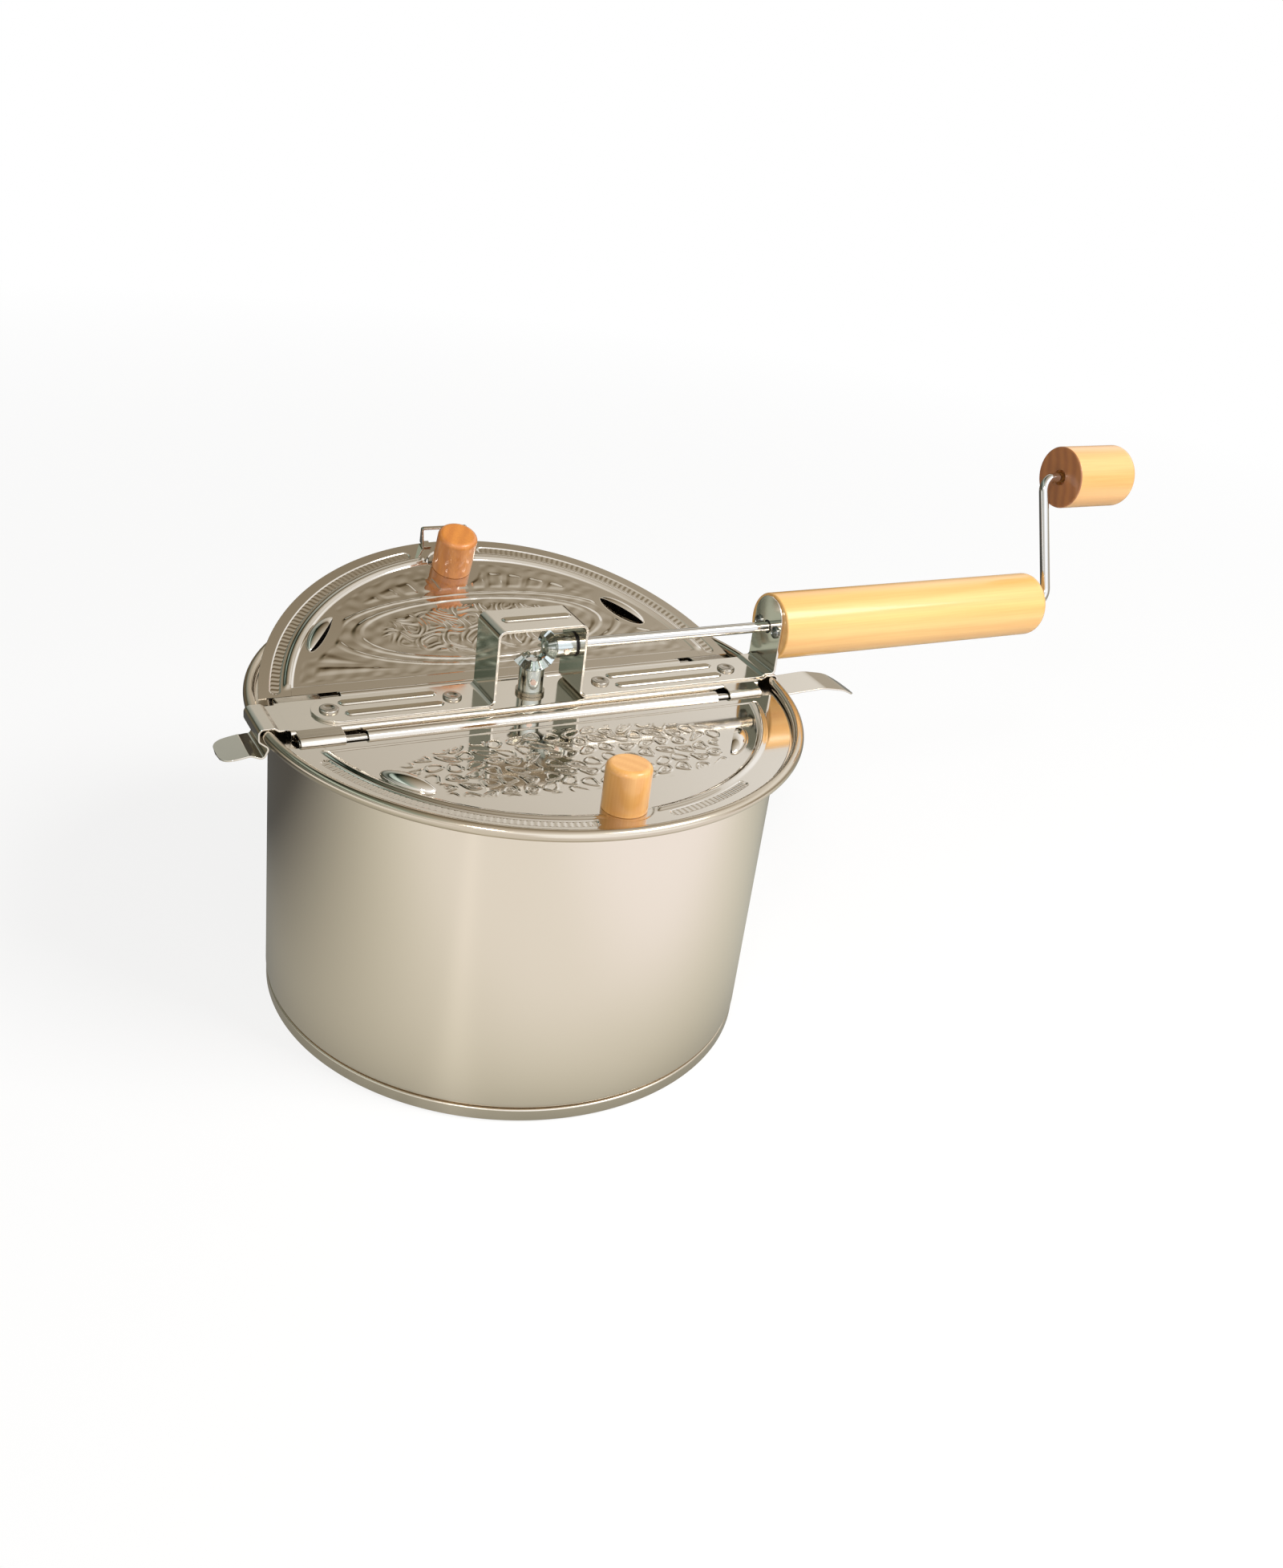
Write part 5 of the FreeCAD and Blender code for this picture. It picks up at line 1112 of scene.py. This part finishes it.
add_node(tree, "ShaderNodeOutputMaterial", {"Surface": mix.outputs[0]})
corners = np.array([[-1, -1, 0], [1, -1, 0], [1, 1, 0], [-1, 1, 0]]) * 30.0 - [0, 0, 0.0003]
staged_mesh("floor", corners, [(0, 1, 2, 3)], paper)

# The backdrop is plain white to the camera, the steel and the lacquer, and a faint warm light otherwise.
world = bpy.data.worlds.new("white_room")
bpy.context.scene.world = world
world.use_nodes = True
tree = world.node_tree
tree.nodes.clear()
rays, looked_at = seen_directly(tree)
clear = add_node(tree, "ShaderNodeMath", {0: looked_at, 1: rays.outputs["Is Transmission Ray"]},
                 operation="MAXIMUM")
soft = add_node(tree, "ShaderNodeBackground", {"Color": linear("#FFFBF5"), "Strength": 0.33})
plain = add_node(tree, "ShaderNodeBackground", {"Color": (1, 1, 1, 1), "Strength": 1.0})
mix = add_node(tree, "ShaderNodeMixShader", {
    "Fac": clear.outputs[0], 1: soft.outputs[0], 2: plain.outputs[0]})
add_node(tree, "ShaderNodeOutputWorld", {"Surface": mix.outputs[0]})

# The room as the steel sees it: paler on the right and in front, darker on the left, with a low band that is
# dark beyond the pot and pale in front, and a table that is in shade beyond the pot and on its left.
FRONT = np.array([-0.517, -0.856])
RIGHT = np.array([0.856, -0.517])
room_glow = glow("room_tones")


def room_tones(points, rule):
    """Grey of the room at points: a rule of how far to the right and to the front each lies, from -1 to 1.
    It is warmer where it is darker, and cooler far to the left."""
    flat = points[:, :2] / np.maximum(np.linalg.norm(points[:, :2], axis=1, keepdims=True), 1e-9)
    grey = np.clip(rule(flat @ RIGHT, flat @ FRONT, points), 0.02, 1.6)[:, None]
    cool = smooth((-(points[:, :2] @ RIGHT) - 0.4) / 1.2)[:, None]
    overhead = points[:, 2:] > ROOM_HEIGHT - 0.01
    tones = grey ** (np.array([1.0, 1.14, 1.4]) + cool * np.array([0.12, -0.12, -0.3]))
    return tones * (1 - cool * overhead * np.array([0.16, 0.0, 0.02]))


def wall_rule(right, front, at):
    """The wall is paler higher up, to 1.5 m, then a little darker again."""
    height = 0.2 + 0.66 * smooth(at[:, 2] / 1.5) - 0.35 * np.maximum(at[:, 2] - 1.6, 0)
    sides = 0.6 * right * (right < 0) + 0.8 * np.minimum(right, 0.45) * (right > 0)
    return height + sides + 0.5 * np.maximum(front, 0)


def ceiling_rule(_right, _front, at):
    """The ceiling is paler towards the right and the front, and in a strip along its left side."""
    right = at[:, :2] @ RIGHT
    slope = (0.8 * right + 0.5 * (at[:, :2] @ FRONT)) / ROOM_RADIUS
    return 0.66 + slope + 0.85 * smooth((-right - 1.5) / 0.3)


def band_rule(right, front, _at):
    """The low band is pale in front and on the right, and a little less dark on the left."""
    sides = 0.45 * smooth((right - 0.15) / 0.15) + 0.12 * smooth((-right - 0.1) / 0.3)
    return 0.05 + 0.98 * smooth((front + 0.2) / 0.6) + sides


def ring_wall(radius, height, rows):
    """An upright wall round the pot, r (cos a, sin a), from the floor to its height."""
    turn, rise = np.meshgrid(np.linspace(0, 2 * math.pi, 97), np.linspace(0, 1, rows))
    return np.stack([radius * np.cos(turn), radius * np.sin(turn), height * rise], -1).reshape(-1, 3)


wall = ring_wall(ROOM_RADIUS, ROOM_HEIGHT, 17)
staged_mesh("room_wall", wall, grid_faces(17, 97), room_glow, room_tones(wall, wall_rule))
turn, reach = np.meshgrid(np.linspace(0, 2 * math.pi, 97), ROOM_RADIUS * np.linspace(0, 1, 17))
top = np.stack([reach * np.cos(turn), reach * np.sin(turn), 0 * reach + ROOM_HEIGHT], -1).reshape(-1, 3)
staged_mesh("room_ceiling", top, grid_faces(17, 97), room_glow, room_tones(top, ceiling_rule))
low = ring_wall(BAND_RADIUS, BAND_HEIGHT, 5)
staged_mesh("room_low_band", low, grid_faces(5, 97), room_glow, room_tones(low, band_rule))
across, deep = np.meshgrid(*[np.linspace(-TABLE_HALF, TABLE_HALF, 181)] * 2)
table = np.stack([across, deep, 0 * across + 0.0004], -1).reshape(-1, 3)


def table_tones(at):
    """Grey of the table: 0.5 + 2 (front + 0.6 right) in metres, and 0.15 more on the right, with painted
    shade close to the pot's foot, and a paler line that draws a soft upright light on the wall."""
    front, right = at[:, :2] @ FRONT, at[:, :2] @ RIGHT
    shade = np.clip(0.5 + 2.0 * (front + 0.6 * right), 0.1, 0.98) + 0.15 * smooth((right - 0.1) / 0.15)
    foot = 1 - 0.45 * np.exp(-np.maximum(np.linalg.norm(at[:, :2], axis=1) - POT_FOOT, 0) / 0.022)
    across_line = at[:, :2] @ np.array([0.717, -0.697])
    streak = np.exp(-((across_line - 0.0196) / 0.014) ** 2) * smooth(-at[:, 1] / 0.1)
    grey = (shade * foot)[:, None]
    return grey * (1 - np.array([0.02, 0.0, 0.42]) * grey * (1 - grey)) + 0.1 * streak[:, None]


staged_mesh("room_table", table, grid_faces(181, 181), room_glow, table_tones(table))


def lamp(name, place, aim, size, power, mirrored=True):
    """A square soft lamp at a place, turned to its aim; a lamp that isn't mirrored lights without a glint."""
    light = bpy.data.lights.new(name, "AREA")
    light.shape = "RECTANGLE"
    light.size, light.size_y = size
    light.energy = power
    holder = bpy.data.objects.new(name, light)
    bpy.context.scene.collection.objects.link(holder)
    holder.location = place
    holder.rotation_euler = (Vector(aim) - Vector(place)).to_track_quat("-Z", "Y").to_euler()
    holder.visible_glossy = mirrored


lamp("lamp_above_left", (-0.9, -0.5, 1.3), (0, 0, 0.1), (0.8, 0.8), 2.2, mirrored=False)
lamp("lamp_front_right", (0.91, -0.98, 1.5), (0.1, 0, 0.15), (0.85, 0.7), 10.0)
lamp("lamp_front_right_fill", (0.95, -1.02, 1.5), (0.1, 0, 0.15), (0.85, 0.7), 22.0, mirrored=False)
lamp("lamp_front_spot", (-0.78, -0.98, 1.2), (0, 0, 0.15), (0.2, 0.2), 3.0)

# ---------------------------------------------------------------- camera
# The camera looks along the front left of the pot from above, a little rolled.

TARGET = np.array([64.53, 0.0, 94.05]) * 0.001
DISTANCE = 0.73958
AZIMUTH, ELEVATION, ROLL = (math.radians(degrees) for degrees in (-31.170, 28.137, 8.007))
FOCAL = 1908.693                # focal length in pixels of a picture that is TALL pixels high
TALL = 1955.0
SENSOR = 36.0

back = np.array([math.sin(AZIMUTH) * math.cos(ELEVATION), -math.cos(AZIMUTH) * math.cos(ELEVATION),
                 math.sin(ELEVATION)])
right = np.cross(-back, [0, 0, 1.0])
right /= np.linalg.norm(right)
up = np.cross(right, -back)
right_rolled = math.cos(ROLL) * right + math.sin(ROLL) * up
up_rolled = -math.sin(ROLL) * right + math.cos(ROLL) * up
lens = bpy.data.cameras.new("camera")
lens.sensor_width = SENSOR
lens.lens = FOCAL * SENSOR / TALL
lens.clip_start, lens.clip_end = 0.01, 50.0
camera = bpy.data.objects.new("camera", lens)
bpy.context.scene.collection.objects.link(camera)
columns = (right_rolled, up_rolled, back, TARGET + back * DISTANCE)
camera.matrix_world = Matrix([[column[k] for column in columns] for k in range(3)] + [[0, 0, 0, 1]])
bpy.context.scene.camera = camera
bpy.context.scene.view_settings.view_transform = "Standard"
